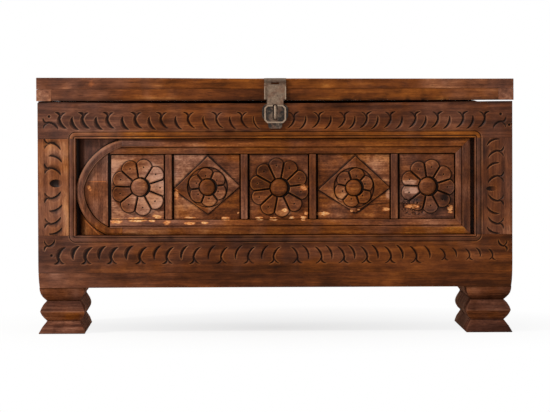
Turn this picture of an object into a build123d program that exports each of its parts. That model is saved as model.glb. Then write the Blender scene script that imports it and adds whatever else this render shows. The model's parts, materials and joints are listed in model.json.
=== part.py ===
from build123d import *
import os

# Damchiya, a dowry chest of reclaimed hardwood with a carved front panel and an iron hasp.
# Millimetres.  X runs along the front from left to right, Y from front to back, Z is up.
# The origin is on the floor, in the middle of the chest.

os.makedirs("parts", exist_ok=True)

# ---- carcass
body_width = 1094.0
body_depth = 400.0
body_height = 427.0
board_edge = 0.8

# ---- feet
foot_width = 107.5
foot_height = 106.0
foot_top_inset = 2.0
foot_neck_inset = 7.5
foot_neck_height = 90.0
foot_notch_inset = 18.5
foot_upper_notch_height = 75.5
foot_belly_inset = 3.5
foot_belly_height = 51.0
foot_lower_notch_height = 29.0
foot_flare_inset = 7.5
foot_flare_height = 14.5

# ---- front frame
front_thickness = 32.0
top_rail_height = 83.5
bottom_rail_height = 86.5
skirt_height = 34.0
stile_width = 87.5
bead_width = 15.0
bead_fall = 3.5
bead_corner = 15.0
bead_groove_width = 3.0
bead_groove_depth = 3.0

# ---- carved panel in the front opening
panel_clearance = 1.0
panel_left_gap = 1.0
panel_right_gap = 9.0
panel_rail_width = 34.5
panel_outer_drop = 11.5
panel_recess = 4.5
panel_bevel_width = 17.5
panel_groove_width = 4.0
panel_groove_depth = 3.5
panel_band_step = 1.0
panel_inner_drop = 9.5
arch_band = 15.5
arch_run = 106.0
arch_low_run = 72.0
arch_shoulder_inset = 34.0
arch_shoulder_drop = 44.0
arch_heel_inset = 21.5
arch_heel_rise = 39.0
arch_bevel = 5.0
spandrel_gap = 10.0
spandrel_drop = 20.0
infill_drop = 13.0
infill_clearance = 1.0
infill_gap = 5.0
backboard_thickness = 12.0
backboard_lap = 20.0

# ---- tiles and muntins
tile_field_inset = 77.5
tile_shares = (1.00, 1.25, 1.12, 1.36, 1.05)
muntin_width = 16.0
muntin_drop = 7.0
muntin_chamfer = 3.0
tile_clearance = 1.0
tile_drop = 15.0
rosette_margin = 2.0
rosette_rise = 6.5
petal_slope = 24.0
petal_gap = 1.5
petal_shoulder = 0.80
petal_heel = 0.75
boss_radius = 20.0
boss_rise = 10.0
lozenge_side_margin = 2.0
lozenge_end_margin = 7.0
lozenge_rise = 7.0
lozenge_chamfer = 3.5
lozenge_well_radius = 46.0
lozenge_well_depth = 5.0
flower_radius = 44.0
flower_rise = 3.5
flower_petals = 6

# ---- sides, back and floor
side_thickness = 30.0
side_stile_width = 72.0
side_panel_thickness = 12.0
side_tongue = 8.0
tongue_clearance = 0.2
right_side_drop = 4.0
back_thickness = 20.0
floor_thickness = 18.0
bearer_width = 60.0
lid_rest_gap = 0.3

# ---- lid
lid_gap = 3.4
lid_overhang = 2.5
lid_back_overhang = 12.0
lid_rim_height = 22.5
lid_rim_width = 35.0
lid_plank_thickness = 27.5
batten_width = 60.0
batten_height = 18.0
batten_inset = 58.0

# ---- rear hinges
hinge_inset = 217.0
hinge_length = 64.0
hinge_leaf_thickness = 1.6
hinge_leaf_reach = 16.0
hinge_barrel_radius = 3.5
hinge_pin_radius = 1.7
hinge_setback = 2.5
knuckle_gap = 0.4
pin_clearance = 0.05
iron_clearance = 0.3

# ---- hasp on the lid's front edge
hasp_width = 50.0
hasp_thickness = 2.5
hasp_barrel_radius = 5.0
hasp_pin_radius = 2.0
hasp_stand_off = 0.5
hasp_knuckle_width = 17.0
hasp_notch_width = 18.0
hasp_notch_drop = 9.0
hasp_leaf_thickness = 1.6
hasp_leaf_reach = 44.0
hasp_strap_drop = 44.0
hasp_flange_start = 14.0
hasp_flange_width = 2.5
hasp_flange_rise = 4.0
hasp_neck_width = 38.0
hasp_neck_drop = 56.5
hasp_plate_drop = 98.5
hasp_plate_corner = 7.0
hasp_plate_rim = 3.5
hasp_plate_rim_rise = 2.0
hasp_tongue_width = 32.0
hasp_tongue_drop = 111.0
hasp_tongue_corner = 6.0
hasp_slot_width = 11.5
hasp_slot_height = 38.0
hasp_slot_drop = 73.5

# ---- staple on the front
staple_wire_radius = 2.65
staple_height = 32.0
staple_reach = 18.0
staple_bend = 7.0
staple_leg = 22.0
staple_clearance = 0.1
staple_plate_width = 60.0
staple_plate_height = 37.0
staple_plate_corner = 12.0
staple_plate_thickness = 2.0

# ---- screws
screw_head_radius = 3.3
screw_head_depth = 1.6
screw_shank_radius = 1.6
screw_length = 16.0
screw_clearance = 0.05
hinge_screw_spacing = 40.0
hinge_screw_setback = 9.5
hasp_screw_spacing = 30.0
hasp_screw_setback = 26.0
staple_screw_spacing = 46.0

# ---- places that follow from the sizes above
half_width = body_width / 2
front_y = -body_depth / 2
back_y = body_depth / 2
inner_front_y = front_y + front_thickness
inner_back_y = back_y - back_thickness
inner_x = half_width - side_thickness
body_bottom = foot_height
body_top = body_bottom + body_height
skirt_top = body_bottom + skirt_height
opening_low = skirt_top + bottom_rail_height
opening_high = body_top - top_rail_height
opening_height = opening_high - opening_low
opening_half = half_width - stile_width
opening_middle = (opening_low + opening_high) / 2
lid_low = body_top + lid_gap
lid_seam = lid_low + lid_rim_height
lid_top = lid_seam + lid_plank_thickness
lid_half = half_width + lid_overhang
lid_front_y = front_y - lid_overhang
lid_back_y = back_y + lid_back_overhang
wall_top = lid_low - lid_rest_gap
floor_top = skirt_top + floor_thickness
panel_left = -opening_half + panel_left_gap
panel_right = opening_half - panel_right_gap
panel_low = opening_low + panel_clearance
panel_high = opening_high - panel_clearance
tile_low = panel_low + panel_rail_width + tile_clearance
tile_high = panel_high - panel_rail_width - tile_clearance
tile_middle = (tile_low + tile_high) / 2
tile_left = panel_left + tile_field_inset
tile_right = panel_right - panel_rail_width
hinge_y = back_y + hinge_setback
hinge_z = (wall_top + lid_low) / 2
hasp_y = lid_front_y - hasp_stand_off - hasp_barrel_radius
hasp_z = lid_top + hasp_leaf_thickness - hasp_barrel_radius
strap_front_y = hasp_y + hasp_barrel_radius - hasp_thickness
slot_middle_z = hasp_z - hasp_slot_drop


def middle(span):
    """Centre of a (low, high) pair."""
    return (span[0] + span[1]) / 2


def size(span):
    """Length of a (low, high) pair."""
    return span[1] - span[0]


def front_plane(drop):
    """The chest's front plane moved back by `drop`: local x is X, local y is Z, facing outwards."""
    return Plane.XZ.offset(-front_y - drop)


def board(name, x_span, y_span, z_span, cuts=()):
    """A straight board with eased edges between two limits on each axis, less the shapes in cuts."""
    with BuildPart() as piece:
        with BuildSketch(Plane.XY.offset(z_span[0])):
            with Locations((middle(x_span), middle(y_span))):
                Rectangle(size(x_span), size(y_span))
        extrude(amount=size(z_span))
        chamfer(piece.edges(), board_edge)
        for cut in cuts:
            add(cut, mode=Mode.SUBTRACT)
    piece.part.label = name
    export_step(piece.part, f"parts/{name}.step")


def screw(clearance):
    """A countersunk screw with its head's face on the XY plane, or its hole when given a clearance."""
    head = screw_head_radius + clearance
    shank = screw_shank_radius + clearance
    end = -screw_length - clearance
    with BuildPart() as body:
        with BuildSketch(Plane.XZ):
            with BuildLine():
                Polyline(
                    (0, 0),
                    (head, 0),
                    (shank, -screw_head_depth),
                    (shank, end),
                    (0, end),
                    close=True,
                )
            make_face()
        revolve(axis=Axis.Z)
    return body.part


def screw_group(planes, clearance=0.0):
    """Copies of the screw, or of its hole, standing on the given planes."""
    shape = screw(clearance)
    with BuildPart() as group:
        for plane in planes:
            with Locations(plane):
                add(shape)
    return group.part


def bar_along_x(start, end, y, z, radius):
    """A round bar parallel to X between two places."""
    with BuildPart() as bar:
        with BuildSketch(Plane.YZ.offset(start)):
            with Locations((y, z)):
                Circle(radius)
        extrude(amount=end - start)
    return bar.part


# ------------------------------------------------------------------ feet
def foot_outline(width):
    """One face of a foot: flared base, rounded belly, curved neck, the same at both ends."""
    half = width / 2
    with BuildSketch() as outline:
        with BuildLine():
            flare = ThreePointArc(
                (half, 0),
                (half - foot_flare_inset, foot_flare_height),
                (half - foot_notch_inset, foot_lower_notch_height),
            )
            belly = ThreePointArc(
                flare @ 1,
                (half - foot_belly_inset, foot_belly_height),
                (half - foot_notch_inset, foot_upper_notch_height),
            )
            neck = ThreePointArc(
                belly @ 1,
                (half - foot_neck_inset, foot_neck_height),
                (half - foot_top_inset, foot_height),
            )
            Polyline(neck @ 1, (0, foot_height), (0, 0), flare @ 0)
        make_face()
        mirror(about=Plane.YZ)
    return outline.sketch


def foot(name, x):
    """A sledge foot from front to back, cut to the same outline on all four sides."""
    with BuildPart() as piece:
        with BuildSketch(Plane((x, 0, 0), x_dir=(1, 0, 0), z_dir=(0, -1, 0))):
            add(foot_outline(foot_width))
        extrude(amount=body_depth / 2, both=True)
        with BuildSketch(Plane((x, 0, 0), x_dir=(0, 1, 0), z_dir=(1, 0, 0))):
            add(foot_outline(body_depth))
        extrude(amount=foot_width / 2, both=True, mode=Mode.INTERSECT)
    piece.part.label = name
    export_step(piece.part, f"parts/{name}.step")


foot_x = half_width - foot_width / 2
foot("foot_left", -foot_x)
foot("foot_right", foot_x)

# ------------------------------------------------------------------ screws
hinge_centres = (hinge_inset - half_width, half_width - hinge_inset)
hinge_screw_y = hinge_y - hinge_screw_setback
hinge_screw_x = [
    centre + side * hinge_screw_spacing / 2 for centre in hinge_centres for side in (-1, 1)
]
body_screw_planes = [Plane((x, hinge_screw_y, wall_top)) for x in hinge_screw_x]
lid_screw_planes = [
    Plane((x, hinge_screw_y, lid_low), x_dir=(1, 0, 0), z_dir=(0, 0, -1)) for x in hinge_screw_x
]
for side in (-1, 1):
    body_screw_planes.append(
        Plane(
            (side * staple_screw_spacing / 2, front_y - staple_plate_thickness, slot_middle_z),
            x_dir=(1, 0, 0),
            z_dir=(0, -1, 0),
        )
    )
    lid_screw_planes.append(
        Plane(
            (
                side * hasp_screw_spacing / 2,
                lid_front_y + hasp_screw_setback,
                lid_top + hasp_leaf_thickness,
            )
        )
    )
body_screw_holes = screw_group(body_screw_planes, screw_clearance)
lid_screw_holes = screw_group(lid_screw_planes, screw_clearance)

with BuildPart() as body_screws:
    add(screw_group(body_screw_planes))
body_screws.part.label = "body_screws"
export_step(body_screws.part, "parts/body_screws.step")

with BuildPart() as lid_screws:
    add(screw_group(lid_screw_planes))
lid_screws.part.label = "lid_screws"
export_step(lid_screws.part, "parts/lid_screws.step")

# ------------------------------------------------------------------ staple and its plate
staple_bar_y = front_y - staple_reach + staple_wire_radius
staple_half = staple_height / 2 - staple_wire_radius
staple_end_y = front_y + staple_leg
with BuildPart() as staple:
    with BuildLine() as staple_path:
        FilletPolyline(
            (0, staple_end_y, slot_middle_z + staple_half),
            (0, staple_bar_y, slot_middle_z + staple_half),
            (0, staple_bar_y, slot_middle_z - staple_half),
            (0, staple_end_y, slot_middle_z - staple_half),
            radius=staple_bend,
        )
    with BuildSketch(Plane((0, staple_end_y, slot_middle_z + staple_half), z_dir=(0, -1, 0))):
        Circle(staple_wire_radius)
    sweep(path=staple_path.wires()[0])
staple.part.label = "staple"
export_step(staple.part, "parts/staple.step")

with BuildPart() as staple_holes:
    with BuildSketch(front_plane(-staple_plate_thickness)):
        with Locations((0, slot_middle_z + staple_half), (0, slot_middle_z - staple_half)):
            Circle(staple_wire_radius + staple_clearance)
    extrude(amount=-staple_leg - staple_plate_thickness - staple_clearance)

with BuildPart() as staple_plate:
    with BuildSketch(front_plane(0)):
        with Locations((0, slot_middle_z)):
            RectangleRounded(staple_plate_width, staple_plate_height, staple_plate_corner)
    extrude(amount=staple_plate_thickness)
    add(staple_holes.part, mode=Mode.SUBTRACT)
    add(body_screw_holes, mode=Mode.SUBTRACT)
staple_plate.part.label = "staple_plate"
export_step(staple_plate.part, "parts/staple_plate.step")

# ------------------------------------------------------------------ front frame
with BuildPart() as opening_bevel:
    with BuildSketch(front_plane(0)):
        with Locations((0, opening_middle)):
            Rectangle(2 * (opening_half + bead_fall), opening_height + 2 * bead_fall)
    with BuildSketch(front_plane(bead_fall)):
        with Locations((0, opening_middle)):
            Rectangle(2 * opening_half, opening_height)
    loft()

with BuildPart() as bead_groove:
    with BuildSketch(front_plane(0)):
        with Locations((0, opening_middle)):
            RectangleRounded(
                2 * (opening_half + bead_width), opening_height + 2 * bead_width, bead_corner
            )
            RectangleRounded(
                2 * (opening_half + bead_width - bead_groove_width),
                opening_height + 2 * (bead_width - bead_groove_width),
                bead_corner - bead_groove_width,
                mode=Mode.SUBTRACT,
            )
    extrude(amount=-bead_groove_depth)

front_span = (front_y, inner_front_y)
opening_cuts = (opening_bevel.part, bead_groove.part)
top_rail_cuts = opening_cuts + (staple_holes.part, body_screw_holes)
full_span = (-half_width, half_width)
left_stile_span = (-half_width, -opening_half)
right_stile_span = (opening_half, half_width)
opening_span = (opening_low, opening_high)
board("front_top_rail", full_span, front_span, (opening_high, body_top), top_rail_cuts)
board("front_bottom_rail", full_span, front_span, (skirt_top, opening_low), opening_cuts)
board("front_skirt", full_span, front_span, (body_bottom, skirt_top))
board("front_stile_left", left_stile_span, front_span, opening_span, opening_cuts)
board("front_stile_right", right_stile_span, front_span, opening_span, opening_cuts)


# ------------------------------------------------------------------ carved panel: frame
def band_profile():
    """Section of the panel's frame: x is the way in from its outer edge, y the drop from the front."""
    groove_middle = panel_bevel_width + panel_groove_width / 2
    with BuildSketch() as section:
        with BuildLine():
            Polyline(
                (0, front_thickness),
                (0, panel_outer_drop),
                (panel_bevel_width, panel_recess),
                (groove_middle, panel_recess + panel_groove_depth),
                (panel_bevel_width + panel_groove_width, panel_recess + panel_band_step),
                (panel_rail_width, panel_inner_drop),
                (panel_rail_width, front_thickness),
                close=True,
            )
        make_face()
    return section.sketch


def arch_face(inset):
    """The panel's rounded end drawn `inset` inside its outer edge, closed off to its right."""
    run_on = panel_left + 2 * arch_run
    shoulder = (panel_left + arch_shoulder_inset, panel_high - arch_shoulder_drop)
    heel = (panel_left + arch_heel_inset, panel_low + arch_heel_rise)
    apex = (panel_left, opening_middle)
    with BuildSketch() as outline:
        with BuildLine():
            upper = ThreePointArc((panel_left + arch_run, panel_high), shoulder, apex)
            lower = ThreePointArc(apex, heel, (panel_left + arch_low_run, panel_low))
            Polyline(lower @ 1, (run_on, panel_low), (run_on, panel_high), upper @ 0)
        make_face()
        if inset > 0:
            offset(amount=-inset)
    return outline.sketch


mitre_high = Plane((panel_right, 0, panel_high), z_dir=(1, 0, -1))
mitre_low = Plane((panel_right, 0, panel_low), z_dir=(1, 0, 1))
arch_inside = arch_face(arch_band)

with BuildPart() as arch_ring:
    with BuildSketch(front_plane(0)):
        with Locations((panel_left + arch_run / 2, opening_middle)):
            Rectangle(arch_run, opening_height)
        add(arch_inside, mode=Mode.SUBTRACT)
    extrude(amount=-front_thickness)


def panel_rail(name, plane, mitre):
    """A banded rail from the arched end to the mitre at the panel's right corner."""
    with BuildPart() as piece:
        with BuildSketch(plane):
            add(band_profile())
        extrude(amount=panel_right - tile_left)
        split(bisect_by=mitre, keep=Keep.BOTTOM)
        add(arch_ring.part, mode=Mode.SUBTRACT)
    piece.part.label = name
    export_step(piece.part, f"parts/{name}.step")


panel_rail(
    "panel_upper_rail",
    Plane((tile_left, front_y, panel_high), x_dir=(0, 0, -1), z_dir=(1, 0, 0)),
    mitre_high,
)
panel_rail(
    "panel_lower_rail",
    Plane((panel_right, front_y, panel_low), x_dir=(0, 0, 1), z_dir=(-1, 0, 0)),
    mitre_low,
)

with BuildPart() as panel_end_stile:
    with BuildSketch(
        Plane((panel_right, front_y, panel_high), x_dir=(-1, 0, 0), z_dir=(0, 0, -1))
    ):
        add(band_profile())
    extrude(amount=panel_high - panel_low)
    split(bisect_by=mitre_high, keep=Keep.TOP)
    split(bisect_by=mitre_low, keep=Keep.TOP)
panel_end_stile.part.label = "panel_end_stile"
export_step(panel_end_stile.part, "parts/panel_end_stile.step")

# The arched end is one carved piece: a raised band with flat, sunk spandrels outside it.
bevel_foot = panel_recess + arch_bevel
with BuildPart() as panel_arch_end:
    with BuildSketch(front_plane(panel_recess)):
        add(arch_face(arch_bevel))
    with BuildSketch(front_plane(bevel_foot)):
        add(arch_face(0))
    loft(ruled=True)
    with BuildSketch(front_plane(bevel_foot)):
        add(arch_face(0))
    extrude(amount=bevel_foot - front_thickness)
    with BuildSketch(front_plane(0)):
        with Locations((panel_left + arch_run / 2, opening_middle)):
            Rectangle(arch_run, opening_height)
        add(arch_inside, mode=Mode.SUBTRACT)
    extrude(amount=-front_thickness, mode=Mode.INTERSECT)
    with BuildSketch(front_plane(spandrel_drop)):
        with Locations((panel_left + (spandrel_gap + arch_run) / 2, (panel_low + panel_high) / 2)):
            Rectangle(arch_run - spandrel_gap, panel_high - panel_low)
        add(arch_inside, mode=Mode.SUBTRACT)
    extrude(amount=spandrel_drop - front_thickness)
panel_arch_end.part.label = "panel_arch_end"
export_step(panel_arch_end.part, "parts/panel_arch_end.step")

infill_right = tile_left - infill_gap
with BuildPart() as arch_infill:
    with BuildSketch(front_plane(infill_drop)):
        add(arch_face(arch_band + infill_clearance))
        with Locations(((panel_left + infill_right) / 2, opening_middle)):
            Rectangle(infill_right - panel_left, opening_height, mode=Mode.INTERSECT)
    extrude(amount=infill_drop - front_thickness)
    chamfer(arch_infill.faces().sort_by(Axis.Y)[0].edges(), board_edge)
arch_infill.part.label = "arch_infill"
export_step(arch_infill.part, "parts/arch_infill.step")

board(
    "panel_backboard",
    (-opening_half - backboard_lap, opening_half + backboard_lap),
    (inner_front_y, inner_front_y + backboard_thickness),
    (opening_low - backboard_lap, opening_high + backboard_lap),
)


# ------------------------------------------------------------------ carved panel: tiles and muntins
def petal(radius, count, rise):
    """One of `count` petals that fill a circle, pointing along +X, with sloping sides."""
    half_angle = 180 / count
    shoulder = Vector(radius * petal_shoulder, 0)
    heel = Vector(boss_radius * petal_heel, 0)
    with BuildPart() as body:
        with BuildSketch():
            with BuildLine():
                tip = ThreePointArc(
                    shoulder.rotate(Axis.Z, half_angle),
                    (radius, 0),
                    shoulder.rotate(Axis.Z, -half_angle),
                )
                Polyline(
                    tip @ 1,
                    heel.rotate(Axis.Z, -half_angle),
                    heel.rotate(Axis.Z, half_angle),
                    tip @ 0,
                )
            make_face()
            offset(amount=-petal_gap / 2)
        extrude(amount=rise, taper=petal_slope)
    return body.part


def dome(radius, rise):
    """A round boss: the cap of a sphere standing on the XY plane."""
    sphere_radius = (radius ** 2 + rise ** 2) / (2 * rise)
    half_way = rise - sphere_radius + (sphere_radius ** 2 - radius ** 2 / 4) ** 0.5
    with BuildPart() as body:
        with BuildSketch(Plane.XZ):
            with BuildLine():
                cap = ThreePointArc((radius, 0), (radius / 2, half_way), (0, rise))
                Polyline(cap @ 1, (0, 0), cap @ 0)
            make_face()
        revolve(axis=Axis.Z)
    return body.part


def tile_face(x_span, drop):
    """Plane on the middle of a tile, `drop` behind the chest's front, facing outwards."""
    return Plane((middle(x_span), front_y + drop, tile_middle), x_dir=(1, 0, 0), z_dir=(0, -1, 0))


def rosette_tile(name, x_span, petal_count, turn):
    """A sunk tile that carries a round rosette of broad petals about a domed boss."""
    radius = min(size(x_span), tile_high - tile_low) / 2 - rosette_margin
    leaf = petal(radius, petal_count, rosette_rise)
    with BuildPart() as piece:
        with BuildSketch(tile_face(x_span, tile_drop)):
            Rectangle(size(x_span), tile_high - tile_low)
        extrude(amount=tile_drop - front_thickness)
        with Locations(tile_face(x_span, tile_drop)):
            with PolarLocations(0, petal_count, turn):
                add(leaf)
            add(dome(boss_radius, boss_rise))
    piece.part.label = name
    export_step(piece.part, f"parts/{name}.step")


def lozenge_tile(name, x_span):
    """A sunk tile with a raised lozenge, and in its round well a flower with a domed boss."""
    half_long = size(x_span) / 2 - lozenge_side_margin
    half_high = (tile_high - tile_low) / 2 - lozenge_end_margin
    well_drop = tile_drop - lozenge_rise + lozenge_well_depth
    leaf = petal(flower_radius, flower_petals, flower_rise)
    with BuildPart() as piece:
        with BuildSketch(tile_face(x_span, tile_drop)):
            Polygon((half_long, 0), (0, half_high), (-half_long, 0), (0, -half_high), align=None)
        extrude(amount=lozenge_rise)
        chamfer(piece.faces().sort_by(Axis.Y)[0].edges(), lozenge_chamfer)
        with BuildSketch(tile_face(x_span, tile_drop)):
            Rectangle(size(x_span), tile_high - tile_low)
        extrude(amount=tile_drop - front_thickness)
        with BuildSketch(tile_face(x_span, tile_drop - lozenge_rise)):
            Circle(lozenge_well_radius)
        extrude(amount=-lozenge_well_depth, mode=Mode.SUBTRACT)
        with Locations(tile_face(x_span, well_drop)):
            with PolarLocations(0, flower_petals, 90):
                add(leaf)
            add(dome(boss_radius, boss_rise))
    piece.part.label = name
    export_step(piece.part, f"parts/{name}.step")


def muntin(name, x_span):
    """An upright bar between two tiles with bevelled front edges."""
    with BuildPart() as piece:
        with BuildSketch(tile_face(x_span, muntin_drop)):
            Rectangle(size(x_span), tile_high - tile_low)
        extrude(amount=muntin_drop - front_thickness)
        chamfer(piece.faces().sort_by(Axis.Y)[0].edges().filter_by(Axis.Z), muntin_chamfer)
    piece.part.label = name
    export_step(piece.part, f"parts/{name}.step")


# The tiles share out, unevenly, what the muntins leave of the field.
muntin_count = len(tile_shares) - 1
bay_room = tile_right - tile_left - muntin_count * muntin_width
tile_spans = []
bay_left = tile_left
for number, share in enumerate(tile_shares, start=1):
    bay_right = bay_left + bay_room * share / sum(tile_shares)
    tile_spans.append((bay_left + tile_clearance, bay_right - tile_clearance))
    if number <= muntin_count:
        muntin(f"muntin_{number}", (bay_right, bay_right + muntin_width))
    bay_left = bay_right + muntin_width

rosette_tile("tile_1", tile_spans[0], 9, 10)
lozenge_tile("tile_2", tile_spans[1])
rosette_tile("tile_3", tile_spans[2], 10, 0)
lozenge_tile("tile_4", tile_spans[3])
rosette_tile("tile_5", tile_spans[4], 9, 0)


# ------------------------------------------------------------------ side walls
def mirrored(near, far, side):
    """Limits along X of a piece on the left (side -1) or right (side 1) of the chest."""
    return (side * near, side * far) if side > 0 else (side * far, side * near)


def side_wall(side_name, side, top):
    """Two stiles, two rails and a plain panel whose edges sit in grooves in all four."""
    wall = mirrored(inner_x, half_width, side)
    panel_inset = (side_thickness - side_panel_thickness) / 2
    front_stile = (inner_front_y, inner_front_y + side_stile_width)
    rear_stile = (back_y - side_stile_width, back_y)
    between = (front_stile[1], rear_stile[0])
    reach = side_tongue - tongue_clearance
    panel_x = (wall[0] + panel_inset, wall[1] - panel_inset)
    panel_y = (between[0] - reach, between[1] + reach)
    panel_z = (opening_low - reach, opening_high + reach)
    with BuildPart() as groove:
        with BuildSketch(Plane.XY.offset(opening_low - side_tongue)):
            with Locations((middle(panel_x), middle(between))):
                Rectangle(side_panel_thickness, size(between) + 2 * side_tongue)
        extrude(amount=opening_height + 2 * side_tongue)
    cut = (groove.part,)
    board(f"{side_name}_front_stile", wall, front_stile, (body_bottom, top), cut)
    board(f"{side_name}_rear_stile", wall, rear_stile, (body_bottom, top), cut)
    board(f"{side_name}_top_rail", wall, between, (opening_high, top), cut)
    board(f"{side_name}_bottom_rail", wall, between, (body_bottom, opening_low), cut)
    board(f"{side_name}_panel", panel_x, panel_y, panel_z)


side_wall("side_left", -1, wall_top)
side_wall("side_right", 1, wall_top - right_side_drop)

# ------------------------------------------------------------------ rear hinges
leaf_y = (hinge_y - hinge_leaf_reach, hinge_y)
knuckle = hinge_length / 3


def hinge_knuckle(centre, start, end, radius):
    """A round bar about the hinge axis between two places measured from the hinge's middle."""
    return bar_along_x(centre + start, centre + end, hinge_y, hinge_z, radius)


def hinge_leaf(name, centre, z_low, spans, clear_spans, holes):
    """A leaf with its own knuckles, cut back round the other leaf's, bored for the pin."""
    with BuildPart() as piece:
        with BuildSketch(Plane.XY.offset(z_low)):
            with Locations((centre, middle(leaf_y))):
                Rectangle(hinge_length, size(leaf_y))
        extrude(amount=hinge_leaf_thickness)
        for span in clear_spans:
            room = hinge_knuckle(centre, *span, hinge_barrel_radius + iron_clearance)
            add(room, mode=Mode.SUBTRACT)
        for span in spans:
            add(hinge_knuckle(centre, *span, hinge_barrel_radius))
        bore = hinge_pin_radius + pin_clearance
        add(hinge_knuckle(centre, -hinge_length / 2, hinge_length / 2, bore), mode=Mode.SUBTRACT)
        add(holes, mode=Mode.SUBTRACT)
    piece.part.label = name
    export_step(piece.part, f"parts/{name}.step")


outer_knuckles = ((-hinge_length / 2, -knuckle / 2), (knuckle / 2, hinge_length / 2))
middle_knuckle = ((knuckle_gap - knuckle / 2, knuckle / 2 - knuckle_gap),)
middle_clear = ((-knuckle / 2, knuckle / 2),)
outer_clear = (
    (-hinge_length / 2, knuckle_gap - knuckle / 2),
    (knuckle / 2 - knuckle_gap, hinge_length / 2),
)
for side_name, centre in zip(("left", "right"), hinge_centres):
    hinge_leaf(
        f"hinge_{side_name}_body_leaf",
        centre,
        wall_top - hinge_leaf_thickness,
        outer_knuckles,
        middle_clear,
        body_screw_holes,
    )
    hinge_leaf(
        f"hinge_{side_name}_lid_leaf", centre, lid_low, middle_knuckle, outer_clear, lid_screw_holes
    )

with BuildPart() as hinge_pins:
    for centre in hinge_centres:
        add(hinge_knuckle(centre, -hinge_length / 2, hinge_length / 2, hinge_pin_radius))
hinge_pins.part.label = "hinge_pins"
export_step(hinge_pins.part, "parts/hinge_pins.step")

# Mortises for both leaves and the room that their barrels turn in.
with BuildPart() as hinge_mortises:
    with BuildSketch(Plane.XY.offset(wall_top - hinge_leaf_thickness)):
        with Locations(*[(centre, middle(leaf_y)) for centre in hinge_centres]):
            Rectangle(hinge_length + 2 * iron_clearance, size(leaf_y) + 2 * iron_clearance)
    extrude(amount=lid_low - wall_top + 2 * hinge_leaf_thickness)
    for centre in hinge_centres:
        half = hinge_length / 2 + iron_clearance
        add(hinge_knuckle(centre, -half, half, hinge_barrel_radius + iron_clearance))

# ------------------------------------------------------------------ back and floor
back_span = (inner_back_y, back_y)
back_seam = (body_bottom + wall_top) / 2
back_cuts = (hinge_mortises.part, body_screw_holes)
inner_span = (-inner_x, inner_x)
board("back_plank_lower", inner_span, back_span, (body_bottom, back_seam))
board("back_plank_upper", inner_span, back_span, (back_seam, wall_top), back_cuts)
floor_depth = (inner_front_y, inner_back_y)
floor_middle = middle(floor_depth)
floor_layer = (skirt_top, floor_top)
board("floor_board_front", inner_span, (floor_depth[0], floor_middle), floor_layer)
board("floor_board_rear", inner_span, (floor_middle, floor_depth[1]), floor_layer)
for side_name, side in (("left", -1), ("right", 1)):
    bearer_x = mirrored(inner_x - bearer_width, inner_x, side)
    board(f"floor_bearer_{side_name}", bearer_x, floor_depth, (body_bottom, skirt_top))

# ------------------------------------------------------------------ lid
lid_inner_x = lid_half - lid_rim_width
rim_front_y = lid_front_y + lid_rim_width
rim_back_y = lid_back_y - lid_rim_width
lid_middle_y = (lid_front_y + lid_back_y) / 2
batten_end = lid_half - batten_inset
lid_span = (-lid_half, lid_half)
rim_span = (-lid_inner_x, lid_inner_x)
plank_z = (lid_seam, lid_top)
rim_z = (lid_low, lid_seam)
batten_z = (lid_seam - batten_height, lid_seam)
rim_back_cuts = (hinge_mortises.part, lid_screw_holes)
board("lid_plank_front", lid_span, (lid_front_y, lid_middle_y), plank_z, (lid_screw_holes,))
board("lid_plank_rear", lid_span, (lid_middle_y, lid_back_y), plank_z)
board("lid_rim_front", rim_span, (lid_front_y, rim_front_y), rim_z)
board("lid_rim_back", rim_span, (rim_back_y, lid_back_y), rim_z, rim_back_cuts)
for side_name, side in (("left", -1), ("right", 1)):
    rim_x = mirrored(lid_inner_x, lid_half, side)
    board(f"lid_rim_{side_name}", rim_x, (lid_front_y, lid_back_y), rim_z)
    batten_x = mirrored(batten_end - batten_width, batten_end, side)
    board(f"lid_batten_{side_name}", batten_x, (rim_front_y, rim_back_y), batten_z)

# ------------------------------------------------------------------ hasp
hasp_half = hasp_width / 2
hasp_knuckle_half = hasp_knuckle_width / 2
hasp_notch_half = hasp_notch_width / 2


def hasp_bar(start, end, radius):
    """A round bar about the hasp's axis between two places along the front."""
    return bar_along_x(start, end, hasp_y, hasp_z, radius)


hasp_bore = hasp_bar(-hasp_half, hasp_half, hasp_pin_radius + pin_clearance)

with BuildPart() as hasp_pin:
    add(hasp_bar(-hasp_half, hasp_half, hasp_pin_radius))
hasp_pin.part.label = "hasp_pin"
export_step(hasp_pin.part, "parts/hasp_pin.step")

with BuildPart() as hasp_leaf:
    with BuildSketch(Plane.XY.offset(lid_top)):
        with Locations((0, lid_front_y + hasp_leaf_reach / 2)):
            Rectangle(hasp_width, hasp_leaf_reach)
        with Locations((0, (hasp_y + lid_front_y) / 2)):
            Rectangle(hasp_knuckle_width, lid_front_y - hasp_y)
    extrude(amount=hasp_leaf_thickness)
    add(hasp_bar(-hasp_knuckle_half, hasp_knuckle_half, hasp_barrel_radius))
    add(hasp_bore, mode=Mode.SUBTRACT)
    add(lid_screw_holes, mode=Mode.SUBTRACT)
hasp_leaf.part.label = "hasp_leaf"
export_step(hasp_leaf.part, "parts/hasp_leaf.step")


def hasp_place(drop_low, drop_high):
    """Middle of a stretch of the hasp between two distances below its axis."""
    return (0, hasp_z - (drop_low + drop_high) / 2)


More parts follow.
